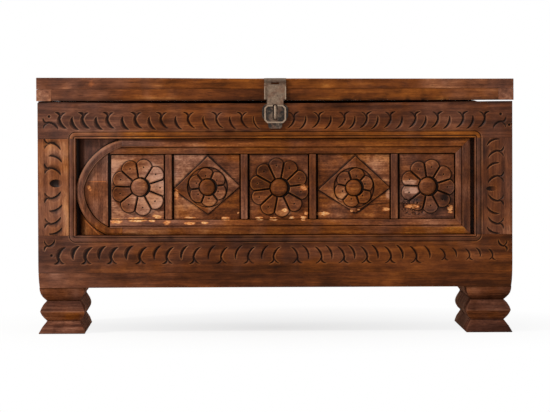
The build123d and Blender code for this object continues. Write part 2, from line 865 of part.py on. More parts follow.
strap_face = Plane.XZ.offset(-strap_front_y)
plate_height = hasp_plate_drop - hasp_neck_drop
with BuildPart() as hasp_strap:
    with BuildSketch(strap_face) as strap_outline:
        with Locations(hasp_place(hasp_neck_drop, hasp_plate_drop)):
            Rectangle(hasp_width, plate_height)
        chamfer(strap_outline.vertices(), hasp_plate_corner)
        with Locations(hasp_place(0, hasp_strap_drop)):
            Rectangle(hasp_width, hasp_strap_drop)
        with Locations(hasp_place(hasp_strap_drop, hasp_neck_drop)):
            Rectangle(hasp_neck_width, hasp_neck_drop - hasp_strap_drop)
        with Locations(hasp_place(hasp_plate_drop - hasp_tongue_corner, hasp_tongue_drop)):
            tongue_height = hasp_tongue_drop - hasp_plate_drop + hasp_tongue_corner
            RectangleRounded(hasp_tongue_width, tongue_height, hasp_tongue_corner)
        with Locations(hasp_place(0, hasp_notch_drop)):
            Rectangle(hasp_notch_width, hasp_notch_drop, mode=Mode.SUBTRACT)
    extrude(amount=-hasp_thickness)
    with BuildSketch(strap_face) as plate_rim:
        with Locations(hasp_place(hasp_neck_drop, hasp_plate_drop)):
            Rectangle(hasp_width, plate_height)
        chamfer(plate_rim.vertices(), hasp_plate_corner)
        offset(amount=-hasp_plate_rim, mode=Mode.SUBTRACT)
    extrude(amount=hasp_plate_rim_rise)
    with BuildSketch(strap_face):
        with Locations(hasp_place(hasp_flange_start, hasp_strap_drop)):
            with GridLocations(hasp_width - hasp_flange_width, 0, 2, 1):
                Rectangle(hasp_flange_width, hasp_strap_drop - hasp_flange_start)
    extrude(amount=hasp_flange_rise)
    for side in (-1, 1):
        start, end = mirrored(hasp_notch_half, hasp_half, side)
        add(hasp_bar(start, end, hasp_barrel_radius))
    add(hasp_bore, mode=Mode.SUBTRACT)
    with BuildSketch(strap_face.offset(hasp_plate_rim_rise)):
        with Locations((0, slot_middle_z)):
            SlotOverall(hasp_slot_height, hasp_slot_width, rotation=90)
    extrude(amount=-hasp_plate_rim_rise - hasp_thickness, mode=Mode.SUBTRACT)
hasp_strap.part.label = "hasp_strap"
export_step(hasp_strap.part, "parts/hasp_strap.step")
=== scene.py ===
"""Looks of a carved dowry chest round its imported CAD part: boards, carving, feet, lid and iron work."""

import json
import math

import bpy
import numpy as np
from mathutils import Matrix, Vector


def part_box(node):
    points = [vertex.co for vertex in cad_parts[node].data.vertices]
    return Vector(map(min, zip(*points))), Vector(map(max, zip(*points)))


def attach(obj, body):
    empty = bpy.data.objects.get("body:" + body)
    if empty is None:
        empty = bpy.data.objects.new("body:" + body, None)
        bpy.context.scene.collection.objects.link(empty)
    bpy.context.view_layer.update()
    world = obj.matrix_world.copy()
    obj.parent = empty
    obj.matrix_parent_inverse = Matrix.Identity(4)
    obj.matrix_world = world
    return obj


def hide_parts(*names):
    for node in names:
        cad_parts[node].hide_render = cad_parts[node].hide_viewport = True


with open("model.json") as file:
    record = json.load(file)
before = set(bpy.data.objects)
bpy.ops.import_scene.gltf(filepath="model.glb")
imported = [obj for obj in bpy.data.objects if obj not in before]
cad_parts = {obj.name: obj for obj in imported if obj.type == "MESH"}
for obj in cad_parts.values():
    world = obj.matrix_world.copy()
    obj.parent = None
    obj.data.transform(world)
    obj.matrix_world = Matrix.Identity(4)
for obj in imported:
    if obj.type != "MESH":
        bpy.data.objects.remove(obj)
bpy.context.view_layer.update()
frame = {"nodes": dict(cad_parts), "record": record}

# ------------------------------------------------------------------ measures, in millimetres

# The body and its front
body_half = 547.0
body_high = 536.0
front = -200.0
opening_half = 459.5
opening_low, opening_high = 226.5, 449.5
bead_width, bead_step = 17, 0.75

# The panel in the opening. The arched end's profile runs on into the rails over the shared width.
panel_left, panel_right = -458.5, 450.5
panel_low, panel_high = 227.5, 448.5
middle_z = 338.0
rail_width = 34.5
arch_band = 17.0
arch_right = panel_left + 106.0
arch_back = -168.0
rail_back = 32.0
lower_arc_end = panel_left + 72.0
infill_right = -381.0
shared_width = 16.4
tile_ground = -185.0

# The lid, its hinges and the feet. The seal keeps light from showing under the lid.
light_seal = 0.28
lid_seam = 563.5
plank_foot = 558.9
rim_inner_half, rim_inner_front, rim_inner_back = 514.5, -167.5, 177.0
hinge_x, hinge_y, hinge_seat = 330.0, 202.5, 536.3
foot_inner_side = 439.5

# The border's strokes: their outer and inner edges on the rails, and the places of the forked ones
top_strokes = (511, 470)
low_strokes = (160, 203)
top_forks_left = (-494, -441, -384, -320, -261, -199, -134, -76)
top_forks_right = (43, 100, 159, 210, 265, 322, 374, 432, 482)
low_forks_left = (-498, -436, -377, -311, -249, -187, -124, -62, -3)
low_forks_right = (50, 105, 157, 210, 265, 324, 390, 447, 500)


# ------------------------------------------------------------------ number fields


def hashed(cells, seed):
    """A value from 0 to 1 for each whole-number cell: three primes mixed by shifts and products."""
    h = cells[:, 0] * 73856093 ^ cells[:, 1] * 19349663 ^ cells[:, 2] * 83492791 ^ (seed * 40503 + 977)
    h = h & 0xFFFFFFFF
    h = ((h ^ (h >> 16)) * 73244475) & 0xFFFFFFFF
    h = ((h ^ (h >> 16)) * 73244475) & 0xFFFFFFFF
    return (h ^ (h >> 16)) / 4294967295.0


def noise(p, cell, seed):
    """Smooth value noise from 0 to 1: hashed values at the corners of cells, eased between them."""
    q = p / np.asarray(cell, float)
    base = np.floor(q)
    f = q - base
    f = f * f * (3 - 2 * f)
    base = base.astype(np.int64)
    total = np.zeros(len(p))
    for corner in range(8):
        step = np.array([corner & 1, corner >> 1 & 1, corner >> 2 & 1])
        share = np.where(step, f, 1 - f).prod(1)
        total += share * hashed(base + step, seed)
    return total


def rough(p, cell, seed, layers=3):
    """Layered noise from 0 to 1: each layer has half the cell and half the height of the one before."""
    cell = np.asarray(cell, float)
    total, share, whole = np.zeros(len(p)), 1.0, 0.0
    for layer in range(layers):
        total += share * noise(p, cell / 2**layer, seed + 7 * layer)
        whole += share
        share *= 0.5
    return total / whole


def smooth(low, high, value):
    """An eased step: 0 below low, 1 above high, and 3t² - 2t³ between them."""
    t = np.clip((value - low) / (high - low), 0, 1)
    return t * t * (3 - 2 * t)


def box_mm(node):
    """The corners of a CAD node in millimetres."""
    low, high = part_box(node)
    return np.array(low) * 1000, np.array(high) * 1000


# ------------------------------------------------------------------ surfaces


def places(low, high, step, edge, dense=None):
    """Grid places from low to high, `step` apart, drawn together across the rounded edges and, where a dense
    stretch (from, to, step) is named, finer there."""
    near = np.array([0, 0.35, 0.75, 1.25, 1.9]) * edge
    count = max(2, int(round((high - low - 5 * edge) / step)) + 1)
    inner = np.linspace(low + 2.5 * edge, high - 2.5 * edge, count)
    if dense:
        extra = np.arange(max(dense[0], inner[0]), min(dense[1], inner[-1]), dense[2])
        inner = np.concatenate([inner[inner < extra[0] - 0.2], extra, inner[inner > extra[-1] + 0.2]])
    return np.concatenate([low + near, inner, (high - near)[::-1]])


def block(xs, ys, zs, open_back):
    """The six faces of a box as grids of quads, welded at the edges, facing outwards.
    Each vertex is numbered by its three grid places; with open_back the far face is one polygon."""
    nx, ny, nz = len(xs), len(ys), len(zs)
    found = []

    def side(i, j, k, turned):
        code = (i * ny + j) * nz + k
        quad = np.stack([code[:-1, :-1], code[1:, :-1], code[1:, 1:], code[:-1, 1:]], -1).reshape(-1, 4)
        found.append(quad[:, ::-1] if turned else quad)

    i, j = np.meshgrid(np.arange(nx), np.arange(ny), indexing="ij")
    side(i, j, nz - 1, False)
    side(i, j, 0, True)
    j, k = np.meshgrid(np.arange(ny), np.arange(nz), indexing="ij")
    side(nx - 1, j, k, False)
    side(0, j, k, True)
    i, k = np.meshgrid(np.arange(nx), np.arange(nz), indexing="ij")
    side(i, 0, k, False)
    caps = []
    if open_back:
        row, rise = np.arange(nx), np.arange(1, nz - 1)
        ring_i = np.concatenate([row, np.full(nz - 2, nx - 1), row[::-1], np.zeros(nz - 2, int)])
        ring_k = np.concatenate([np.zeros(nx, int), rise, np.full(nx, nz - 1), rise[::-1]])
        caps.append(((ring_i * ny + ny - 1) * nz + ring_k)[::-1])
    else:
        side(i, ny - 1, k, True)
    quads = np.concatenate(found)
    codes, index = np.unique(np.concatenate([quads.ravel()] + caps), return_inverse=True)
    index = index.ravel()
    quads_new = index[: quads.size].reshape(-1, 4)
    caps_new = [index[quads.size :]] if caps else []
    i, j, k = codes // (ny * nz), codes // nz % ny, codes % nz
    return np.stack([xs[i], ys[j], zs[k]], 1), quads_new, caps_new


def eased(p, low, high, radius):
    """A box's points with its edges rounded: the nearest point of the box shrunk by the radius, then out
    from there by the radius."""
    r = radius[:, None]
    core = np.clip(p, low + r, high - r)
    away = p - core
    away /= np.maximum(np.linalg.norm(away, axis=1, keepdims=True), 1e-9)
    return core + away * r, away


def tube(rings):
    """Quads round and along a grid of rings (ring, point), with a polygon at either end, facing outwards."""
    n, m = rings.shape[:2]
    index = np.arange(n * m).reshape(n, m)
    turned = np.roll(index, -1, 1)
    quads = np.stack([index[:-1], turned[:-1], turned[1:], index[1:]], -1).reshape(-1, 4)
    p = rings.reshape(-1, 3)
    caps = [index[0][::-1], index[-1]]
    a, b, c, d = (p[quads[:, k]] for k in range(4))
    if (a * np.cross(b, c)).sum() + (a * np.cross(c, d)).sum() < 0:
        quads, caps = quads[:, ::-1], [cap[::-1] for cap in caps]
    return p, quads, caps


def normals(p, quads):
    """Unit normals at the vertices: the sum of the crossed diagonals of the quads round each."""
    face = np.cross(p[quads[:, 2]] - p[quads[:, 0]], p[quads[:, 3]] - p[quads[:, 1]])
    out = np.stack([np.bincount(quads.ravel(), np.repeat(face[:, k], 4), len(p)) for k in range(3)], 1)
    return out / np.maximum(np.linalg.norm(out, axis=1, keepdims=True), 1e-12)


def spread(values, quads, times):
    """Values blurred over the mesh: each becomes the mean of itself and its neighbours along quad edges."""
    a = quads.ravel()
    b = np.roll(quads, -1, 1).ravel()
    count = np.bincount(a, minlength=len(values)) + np.bincount(b, minlength=len(values))
    for _ in range(times):
        total = np.bincount(a, values[b], len(values)) + np.bincount(b, values[a], len(values))
        values = 0.4 * values + 0.6 * total / np.maximum(count, 1)
    return values


def curvature(p, quads, n, times=2):
    """How far each vertex stands out from the mean of its neighbours, in millimetres: above 0 on ridges,
    below 0 in grooves."""
    moved = np.stack([spread(p[:, k], quads, times) for k in range(3)], 1)
    return ((p - moved) * n).sum(1)


def mesh(name, p, quads, caps, fields):
    """A mesh object from points in millimetres, quads, end polygons and named values at the points."""
    data = bpy.data.meshes.new(name)
    sizes = np.concatenate([np.full(len(quads), 4), [len(c) for c in caps]]).astype(np.int32)
    loops = np.concatenate([quads.ravel()] + [np.asarray(c) for c in caps]).astype(np.int32)
    data.vertices.add(len(p))
    data.vertices.foreach_set("co", (p * 0.001).astype(np.float32).ravel())
    data.loops.add(len(loops))
    data.loops.foreach_set("vertex_index", loops)
    data.polygons.add(len(sizes))
    data.polygons.foreach_set("loop_start", np.concatenate([[0], np.cumsum(sizes)[:-1]]).astype(np.int32))
    data.polygons.foreach_set("use_smooth", np.ones(len(sizes), bool))
    for key, values in fields.items():
        if values.ndim == 2:
            layer = data.attributes.new(key, "FLOAT_VECTOR", "POINT")
            layer.data.foreach_set("vector", values.astype(np.float32).ravel())
        else:
            layer = data.attributes.new(key, "FLOAT", "POINT")
            layer.data.foreach_set("value", values.astype(np.float32))
    data.update(calc_edges=True)
    data.validate()
    obj = bpy.data.objects.new(name, data)
    bpy.context.scene.collection.objects.link(obj)
    return obj


pieces = {}


def added(fields, paint, p):
    """The fields with what paint(p), where there is one, gives added to those of the same names."""
    for key, values in (paint(p) if paint else {}).items():
        fields[key] = fields.get(key, 0) + values
    return fields


def wooden(
    name, p, quads, caps, grain=0, tone=0.0, dull=0.0, amber=0.0, seed=1, fine=1.0, hollow=0.0, marks=(),
    paint=None,
):
    """Finishes a wooden piece: the fields for its shader and its mesh, kept in pieces by its CAD node.
    grain is the axis that the fibres follow. Grooves get painted shade, and wider hollows too by the share
    `hollow`; the same field also holds random dark patches of dirt. Ridges are paler, from wear and a painted
    edge highlight. The ends of the chest are greyer and less amber than its middle, a painted glare. marks
    are (x, y, z, long, high, strength) ragged chips, orange when weak and pale when strong. paint(p) gives
    amounts to add to any of the fields."""
    n = normals(p, quads)
    bend = curvature(p, quads, n)
    # Painted shade: the wider hollows are found here and darkened below.
    sunk = curvature(p, quads, n, 9) if hollow else 0 * bend
    stretch = np.full(3, 70.0)
    across = np.full(3, 9.0)
    across[grain] = 120.0
    stretch[grain] = 260.0
    wide = rough(p, stretch, seed, 2)
    patch = rough(p, 30.0, seed + 31, 3)
    glow = rough(p, 0.55 * stretch, seed + 41, 3)
    streak = rough(p, across, seed + 53, 2)
    # side greys the chest's ends and takes amber from them: painted glare.
    side = np.clip(np.abs(p[:, 0]) / body_half, 0, 1)
    left = np.clip(-p[:, 0] / body_half, -1, 1)
    fields = {
        "tone": tone + 0.34 * (wide - 0.5) + 0.32 * (streak - 0.5) + 0.30 * (patch - 0.5) + 0.05 * left,
        "dull": dull + 0.55 * side**1.5 + 0.08 * left + 1.1 * (rough(p, 46.0, seed + 61, 3) - 0.5),
        "amber": amber + 2.4 * (glow - 0.52) * (1 - 0.6 * side),
        # Painted shade in grooves and hollows, with random patches of real dirt.
        "grime": np.clip(-bend * 3.4 * fine, 0, 1) * (0.45 + 1.0 * rough(p, 24.0, seed + 15, 2))
        + np.clip(-sunk * hollow, 0, 0.55)
        + 0.3 * smooth(0.56, 0.8, rough(p, 17.0, seed + 5, 3)),
        # Ridges paler: wear, and a painted edge highlight.
        "wear": np.clip(bend * 3.2 * fine, 0, 1) * smooth(0.2, 0.65, rough(p, 22.0, seed + 77, 2)),
        "fresh": np.zeros(len(p)),
    }
    fields = added(fields, paint, p)
    for x, y, z, long, high, strength in marks:
        away = np.abs(p - (x, y, z))
        near = np.flatnonzero((away < (1.6 * long, 14, 1.6 * high)).all(1))
        q = p[near]
        ragged = np.hypot((q[:, 0] - x) / long, (q[:, 2] - z) / high)
        ragged += 1.1 * (rough(q, (8, 8, 2.2), seed + 3, 2) - 0.5)
        fields["fresh"][near] = np.maximum(fields["fresh"][near], strength * (1 - smooth(0.65, 1.0, ragged)))
    for key in ("dull", "amber", "grime", "wear", "fresh"):
        fields[key] = np.clip(fields[key], 0, 1)
    order = [grain] + [k for k in range(3) if k != grain]
    fields["grain"] = p[:, order] * 0.001 + np.array([0.37, 0.11, 0.23]) * seed
    obj = mesh("look_" + name, p, quads, caps, fields)
    pieces[name] = obj
    return obj


def board(
    name, step=4.0, edge=1.2, grain=0, carve=None, reach=16.0, low=None, high=None, uneven=0.25, seed=1,
    shape=None, dense=(None, None, None), along=None, **look,
):
    """A board from its CAD node's box: gridded, its edges rounded by an uneven radius, its faces planed a
    little unevenly, and its front moved in by carve(x, z), which fades to nothing `reach` behind the face.
    shape(p) moves the finished points, dense names a finer stretch of the grid for each axis, and along is
    the step across the width where that is another one."""
    box = box_mm(name)
    low = box[0] if low is None else np.array(low, float)
    high = box[1] if high is None else np.array(high, float)
    steps = (along or step, 6.0 if carve else step, step)
    xs, ys, zs = (places(low[k], high[k], steps[k], edge, dense[k]) for k in range(3))
    p, quads, caps = block(xs, ys, zs, carve is not None)
    radius = edge * (0.55 + 0.9 * noise(p, 23.0, seed + 9))
    p, away = eased(p, low, high, radius)
    wave = np.full(3, 40.0)
    wave[grain] = 160.0
    p = p - away * (uneven * rough(p, wave, seed + 13, 2))[:, None]
    if carve:
        share = np.clip(1 - (p[:, 1] - low[1]) / reach, 0, 1)
        p[:, 1] += carve(p[:, 0], p[:, 2]) * share
    if shape:
        p = shape(p)
    return wooden(name, p, quads, caps, grain=grain, seed=seed, **look)


# ------------------------------------------------------------------ carving


def opening_distance(x, z):
    """Distance outside the front's opening: the root of the squares of how far x and z lie past its edges."""
    over = np.maximum(z - opening_high, opening_low - z)
    return np.hypot(np.maximum(np.abs(x) - opening_half, 0), np.maximum(over, 0))


def moulding(x, z):
    """Depth round the opening by the distance outside it: a fall, a narrow fillet, a groove, a rounded bead
    and a second groove."""
    return np.interp(
        opening_distance(x, z),
        [0, 0.9, 1.8, 3.8, 4.6, 5.5, 6.4, 8.2, 10.6, 13.0, 14.4, 15.2, 16.0, 17],
        [4.6, 1.6, 0.7, 0.7, 2.8, 2.8, 1.0, 0.2, 0, 0.4, 1.5, 3.0, 1.7, 0],
    )


def gouge(x, z, start, belly, end, width, deep):
    """Depth of one curved gouge cut. Along its chord t runs from 0 to 1; its line stands off the chord by
    4·bend·t(1 - t), which puts it through belly halfway; its width swells as the root of 4t(1 - t). The
    depth grows across the cut from its outer side, and the wall on its hollow side is steep."""
    out = np.zeros(len(x))
    long = math.hypot(end[0] - start[0], end[1] - start[1])
    ux, uz = (end[0] - start[0]) / long, (end[1] - start[1]) / long
    mx, mz = (start[0] + end[0]) / 2, (start[1] + end[1]) / 2
    bend = (belly[1] - mz) * ux - (belly[0] - mx) * uz
    near = np.flatnonzero((np.abs(x - mx) < long + width) & (np.abs(z - mz) < long + width))
    dx, dz = x[near] - start[0], z[near] - start[1]
    t = (dx * ux + dz * uz) / long
    swell = np.sqrt(np.clip(4 * t * (1 - t), 0, 1))
    off = (dz * ux - dx * uz - 4 * bend * t * (1 - t)) * (1 if bend > 0 else -1)
    w = np.maximum(width * swell, 1e-6)
    rise = np.where(off > 0, 1 - off / w, 1 + off / 1.5)
    out[near] = deep * swell**0.6 * np.clip(rise, 0, 1)
    return out


def pit(x, z, centre, radius, deep):
    """Depth of a round punched pit, a shallow bowl with an eased rim."""
    d = np.hypot(x - centre[0], z - centre[1])
    return deep * (1 - smooth(0.35 * radius, radius, d))


def stroke(x, z, to, width, forked, deep=3.6):
    """Depth of one stroke of the carved border. to turns (along, across) into a point, where along grows
    toward the stroke's tail and across goes from 0 at the outer edge to 1 at the inner edge. A plain
    stroke is one crescent cut; a forked one is a crescent with two horns spread at the outer edge."""
    if not forked:
        return gouge(x, z, to(0, 0.25), to(3.0, 0.64), to(15.0, 1.0), width, deep)
    stem = gouge(x, z, to(-1.0, 0.14), to(2.0, 0.56), to(15.0, 0.93), width, deep)
    horn_a = gouge(x, z, to(-12.0, 0.02), to(-5.0, 0.10), to(1.0, 0.38), 0.5 * width + 1.8, 0.9 * deep)
    horn_b = gouge(x, z, to(12.5, 0.03), to(6.0, 0.12), to(0.5, 0.36), 0.45 * width + 1.2, 0.6 * deep)
    return np.maximum(stem, np.maximum(horn_a, horn_b))


def lying(place, outer, inner, turn):
    """Turns a stroke's (along, across) into (x, z) on a rail, for the stroke at x = place."""
    return lambda u, v: (place + turn * u, outer + (inner - outer) * v)


def standing(place, outer, inner, turn):
    """Turns a stroke's (along, across) into (x, z) on a stile, for the stroke at z = place."""
    return lambda u, v: (outer + (inner - outer) * v, place + turn * u)


def stroke_width(place):
    """Width of a border's strokes: wide at the left, thin near the middle, a little wider at the right."""
    return float(np.interp(place, [-body_half, -330, -150, 100, body_half], [11.5, 9.5, 4.8, 4.4, 7.0]))


def border(x, z, forks, outer, inner, turn, fading=0.0):
    """Depth of a carved border: a forked stroke at each place in forks and a plain one midway between two.
    Past x = 330 the strokes get smaller by the share `fading`."""
    depth = x * 0
    between = [(a + b) / 2 for a, b in zip(forks[:-1], forks[1:])]
    for place, forked in [(f, True) for f in forks] + [(f, False) for f in between]:
        size = 1 - fading * min(max((place - 330) / 70, 0), 1)
        middle, half = (outer + inner) / 2, size * (inner - outer) / 2
        to = lying(place + (-0.5 if forked else 1.0) * turn, middle - half, middle + half, turn * size)
        depth = np.maximum(depth, stroke(x, z, to, stroke_width(place) * size, forked, 4.2 * size))
    return depth


def top_cuts(x, z):
    """Depth of the strokes on the upper rail: two halves of a border and the corner strokes."""
    found = [
        border(x, z, top_forks_left, *top_strokes, 1),
        border(x, z, top_forks_right, *top_strokes, -1),
        stroke(x, z, lying(-50, *top_strokes, 1), 3.2, False),
        stroke(x, z, standing(486, -535, -496, -1), 7, True),
        stroke(x, z, standing(486, 533, 500, -1), 5, True),
    ]
    found += [pit(x, z, centre, 4.0, 3.0) for centre in ((-520, 501), (520, 504), (540, 479))]
    return np.max(found, 0)


def low_cuts(x, z):
    """Depth of the strokes on the lower rail: the same border upside down."""
    found = [
        border(x, z, low_forks_left, *low_strokes, 1),
        border(x, z, low_forks_right, *low_strokes, -1, 0.33),
        stroke(x, z, standing(203, -533, -506, 1), 6, True),
        stroke(x, z, standing(200, 535, 512, 1), 5, True),
        pit(x, z, (-516, 181), 4.0, 3.0),
    ]
    return np.max(found, 0)


def stile_cuts(x, z, outer, inner, forks, singles, eye, width):
    """Depth of a stile's strokes: they lie across it, forked at the outer edge, tails toward its middle,
    round an eye-shaped hollow. eye is its middle, its half-width, its half-height and its depth, which
    falls as the root of 1 - d squared and lessens to the right."""
    found = []
    for place, forked in [(f, True) for f in forks] + [(f, False) for f in singles]:
        turn = -1 if place > middle_z else 1
        found.append(stroke(x, z, standing(place - 2 * turn, outer, inner, turn), width, forked))
    cx, cz, rx, rz, deep = eye
    d = np.hypot((x - cx) / rx, (z - cz) / rz)
    found.append(deep * np.sqrt(np.clip(1 - d * d, 0, 1)) * np.clip(0.75 - 0.65 * (x - cx) / rx, 0.1, 1))
    return np.max(found, 0)


def left_cuts(x, z):
    """Depth of the left stile's strokes."""
    eye = (-505, 347, 15, 9.5, 6.0)
    return stile_cuts(x, z, -532, -491, (437, 379, 316, 257), (408, 286, 233), eye, 13.0)


def right_cuts(x, z):
    """Depth of the right stile's strokes."""
    eye = (499, 332, 13, 6, 2.6)
    return stile_cuts(x, z, 528, 488, (416, 358, 307, 254), (444, 389, 277, 231), eye, 6.0)


# ------------------------------------------------------------------ frame of the front


def front_board(name, cuts, grain, bead, seed, more=None, dirt=(0.82, 2.7), **look):
    """A board of the front: its part of the moulding and its strokes. The strokes get painted shade by the
    pair after more (how much, full at this depth). bead gives the painted highlight or painted shade of the
    bead round the opening, as amounts of tone, amber and greying. more(p) gives paint of its own."""

    def paint(p):
        d = opening_distance(p[:, 0], p[:, 2])
        fillet = smooth(0.3, 1.4, d) * (1 - smooth(3.8, 4.6, d))
        on_bead = fillet + smooth(5.6, 7.0, d) * (1 - smooth(14.0, 15.5, d))
        deep = cuts(p[:, 0], p[:, 2]) * (p[:, 1] < front + 8)
        glint = 0.6 + 0.8 * rough(p, 26.0, seed + 91, 2)
        found = {
            # The bead's painted highlight or painted shade.
            "tone": bead[0] * on_bead * glint + 0.07 * fillet,
            "amber": bead[1] * on_bead * glint,
            "dull": bead[2] * on_bead,
            # Painted shade in the strokes, darker as they deepen.
            "grime": dirt[0] * np.clip(deep / dirt[1], 0, 1),
            "wear": -1.0 * smooth(0.2, 1.0, deep),
        }
        return added(found, more, p)

    def carve(x, z):
        return np.maximum(moulding(x, z), cuts(x, z))

    board(name, 1.2, 0.9, grain, carve, seed=seed, uneven=0.2, paint=paint, hollow=0.5, **look)


def worn_top(p):
    """The front's upper edge: hollowed between its ends by up to three millimetres."""
    sag = np.interp(
        p[:, 0],
        (-body_half, -500, -369, -219, -88, 103, 287, 414, 494, body_half),
        (0.0, 0.8, -1.2, -2.0, -2.7, -2.9, -1.7, -0.4, 0.8, 1.1),
    )
    p[:, 2] += sag * smooth(512, 532, p[:, 2])
    return p


def worn_corner(p):
    """The body's low corners, worn in toward the feet by up to three millimetres."""
    drawn = np.interp(p[:, 2], (106, 120, 140, 160), (3.2, 1.5, 0.3, 0))
    p[:, 0] -= np.sign(p[:, 0]) * (drawn * smooth(460, body_half, np.abs(p[:, 0])))
    return p


def top_paint(p):
    """The upper rail, greyer toward its left end, with painted shade along its top edge under the lid."""
    return {"dull": 0.3 * (1 - smooth(-460, -250, p[:, 0])), "grime": 0.4 * smooth(527.5, 531, p[:, 2])}


def low_paint(p):
    """The lower rail and the skirt, warmer toward the right and along their lower part."""
    low = 1 - smooth(150, 175, p[:, 2])
    right = smooth(100, 420, p[:, 0])
    away = low * smooth(-420, -120, p[:, 0])
    return {
        "dull": -0.25 * away - 0.35 * right,
        "amber": 0.1 * away + 0.25 * right,
        "tone": 0.05 * low + 0.04 * right,
    }


def stile_paint(p):
    """The left stile, darker along its outer edge, and with painted shade near its upper end under the upper
    rail.
    """
    outer = 1 - smooth(-540, -532, p[:, 0])
    return {"tone": -0.12 * outer - 0.08 * smooth(436, 446, p[:, 2])}


above = (opening_high, opening_high + bead_width, bead_step)
below = (opening_low - bead_width, opening_low, bead_step)
left_of = (-opening_half - bead_width, -opening_half, bead_step)
right_of = (opening_half, opening_half + bead_width, bead_step)
# The upper rail's bead gets a painted golden highlight; the left stile's bead gets painted shade, and its
# strokes more painted shade.
front_board(
    "front_top_rail", top_cuts, 0, (0.10, 0.8, -0.3), 3, top_paint, tone=-0.05, shape=worn_top,
    dense=(None, None, above), along=1.4,
)
front_board(
    "front_bottom_rail", low_cuts, 0, (-0.02, 0.1, 0.2), 5, low_paint, tone=-0.06, shape=worn_corner,
    dense=(None, None, below), along=1.4,
)
front_board(
    "front_stile_left", left_cuts, 2, (-0.30, -0.5, 0.4), 7, stile_paint, (0.95, 3.5), tone=0.20, dull=-0.15,
    amber=0.4, dense=(left_of, None, None),
)
front_board(
    "front_stile_right", right_cuts, 2, (-0.08, 0.0, 0.2), 11, tone=0.05, dense=(right_of, None, None)
)
board(
    "front_skirt", 2.4, 1.2, 0, lambda x, z: 0 * x, seed=13, tone=-0.06, uneven=0.2, shape=worn_corner,
    paint=low_paint, along=3.6,
)


# ------------------------------------------------------------------ framed panel

arch_w = np.array([0, 5.2, 7.5, 13.6, 14.4, 15.3, 17.0])
arch_drop = np.array([10.0, 4.9, 4.5, 4.7, 5.5, 4.9, 5.8])
profile_w = np.array([0, 1.2, 9, 16.2, 17.5, 18.6, 19.5, 20.6, 21.5, 23, 33.2, 34.5])
profile_drop = np.array([11.5, 9.6, 7.2, 4.9, 4.6, 6.4, 8.2, 7.4, 5.6, 5.6, 8.9, 10.2])


def mitred(name, place, start, end, steps, seed, grain, joined=False, **look):
    """A rail of the panel's frame: its profile, as drops behind the front by distance from the panel's outer
    edge, drawn along the rail. start and end give where it begins and ends for each distance, so mitres
    and shoulders close. place turns (along, distance, drop) into a point. A joined rail takes over the
    arched end's profile where it meets it."""
    w = np.unique(np.concatenate([np.arange(0, rail_width, 0.7), profile_w]))
    drop = np.interp(w, profile_w, profile_drop)
    loop_w = np.concatenate([w, w[::-1]])
    loop_drop = np.concatenate([drop, np.full(len(w), rail_back)])
    t = np.linspace(0, 1, steps)[:, None]
    a = start(loop_w)[None] * (1 - t) + end(loop_w)[None] * t
    drops = np.broadcast_to(loop_drop, a.shape)
    if joined:
        share = 1 - smooth(arch_right + 6, arch_right + 80, a)
        share = share * (loop_w < shared_width) * (loop_drop < rail_back)
        drops = drops + share * (np.interp(loop_w, arch_w, arch_drop) - drops)
    rings = np.stack(place(a, np.broadcast_to(loop_w, a.shape), drops), -1)
    p, quads, caps = tube(rings)
    n = normals(p, quads)
    p = p - n * (0.5 * rough(p, 14.0, seed + 2, 3))[:, None]
    return wooden(name, p, quads, caps, grain=grain, seed=seed, **look)


def upper_paint(p):
    """The upper rail: dull and dark where it leaves the arch, orange at its right and on its inner band."""
    x, inner = p[:, 0], 1 - smooth(431, 433, p[:, 2])
    near = (1 - smooth(-330, -240, x)) * (1 - inner)
    lit = inner * smooth(-362, -335, x) * (1 - smooth(-290, -230, x))
    return {
        "tone": 0.04 * lit - 0.06 * near,
        "dull": 0.5 * near - 0.3 * lit - 0.35 * smooth(60, 220, x),
        "amber": 0.5 * lit - 0.6 * near + 0.45 * smooth(60, 220, x) * (1 - 0.6 * inner),
    }


def lower_paint(p):
    """The lower rail: pale where it leaves the arch and warm on its outer band, with a painted highlight
    along that band near the right.
    """
    x, outer = p[:, 0], 1 - smooth(243, 245, p[:, 2])
    # Painted highlight along the outer band near the right.
    bright = outer * smooth(240, 320, x) * (1 - smooth(430, 445, x))
    near = outer * (1 - smooth(-320, -230, x))
    inner = (1 - outer) * (1 - smooth(-160, -90, x))
    middle = 0.10 * smooth(-120, -20, x) * (1 - smooth(60, 140, x))
    return {
        "tone": 0.12 * bright + 0.02 * near - 0.10 * inner - middle,
        "dull": -0.3 * bright + 0.3 * inner + 0.1 * near,
        "amber": 0.4 * bright + 0.35 * outer - 0.3 * inner - 0.25 * near * smooth(-378, -330, x),
    }


def panel_rail(name, edge, way, seed, **look):
    """A rail of the panel's frame, its outer edge at z = edge and its width going `way`. At its left it meets
    the arched end, and past the shared width the half-moon board."""
    mitred(
        name,
        lambda a, w, d: (a, front + d, edge + way * w),
        lambda w: np.where(w < shared_width, arch_right, infill_right),
        lambda w: panel_right - w,
        420,
        seed,
        0,
        joined=True,
        hollow=0.4,
        **look,
    )


panel_rail("panel_upper_rail", panel_high, -1, 17, tone=0.10, paint=upper_paint)
panel_rail(
    "panel_lower_rail", panel_low, 1, 19, tone=0.12, paint=lower_paint,
    marks=(
        (-366, -190, 258, 15, 4.0, 0.8), (-318, -190, 260, 26, 2.6, 1.0), (-286, -190, 260, 8, 2.4, 0.9),
        (-250, -190, 256, 9, 5.0, 0.6), (-198, -190, 254, 12, 3.6, 0.7), (-163, -190, 255, 8, 2.6, 1.0),
        (-115, -190, 262, 12, 2.4, 0.7), (-37, -190, 262, 9, 2.0, 1.0), (-5, -190, 262, 9, 2.0, 1.0),
        (64, -190, 262, 6, 2.4, 0.9), (-401, -190, 262, 12, 3.0, 0.7),
    ),
)
mitred(
    "panel_end_stile",
    lambda a, w, d: (panel_right - w, front + d, a),
    lambda w: panel_low + w,
    lambda w: panel_high - w,
    160,
    23,
    2,
)


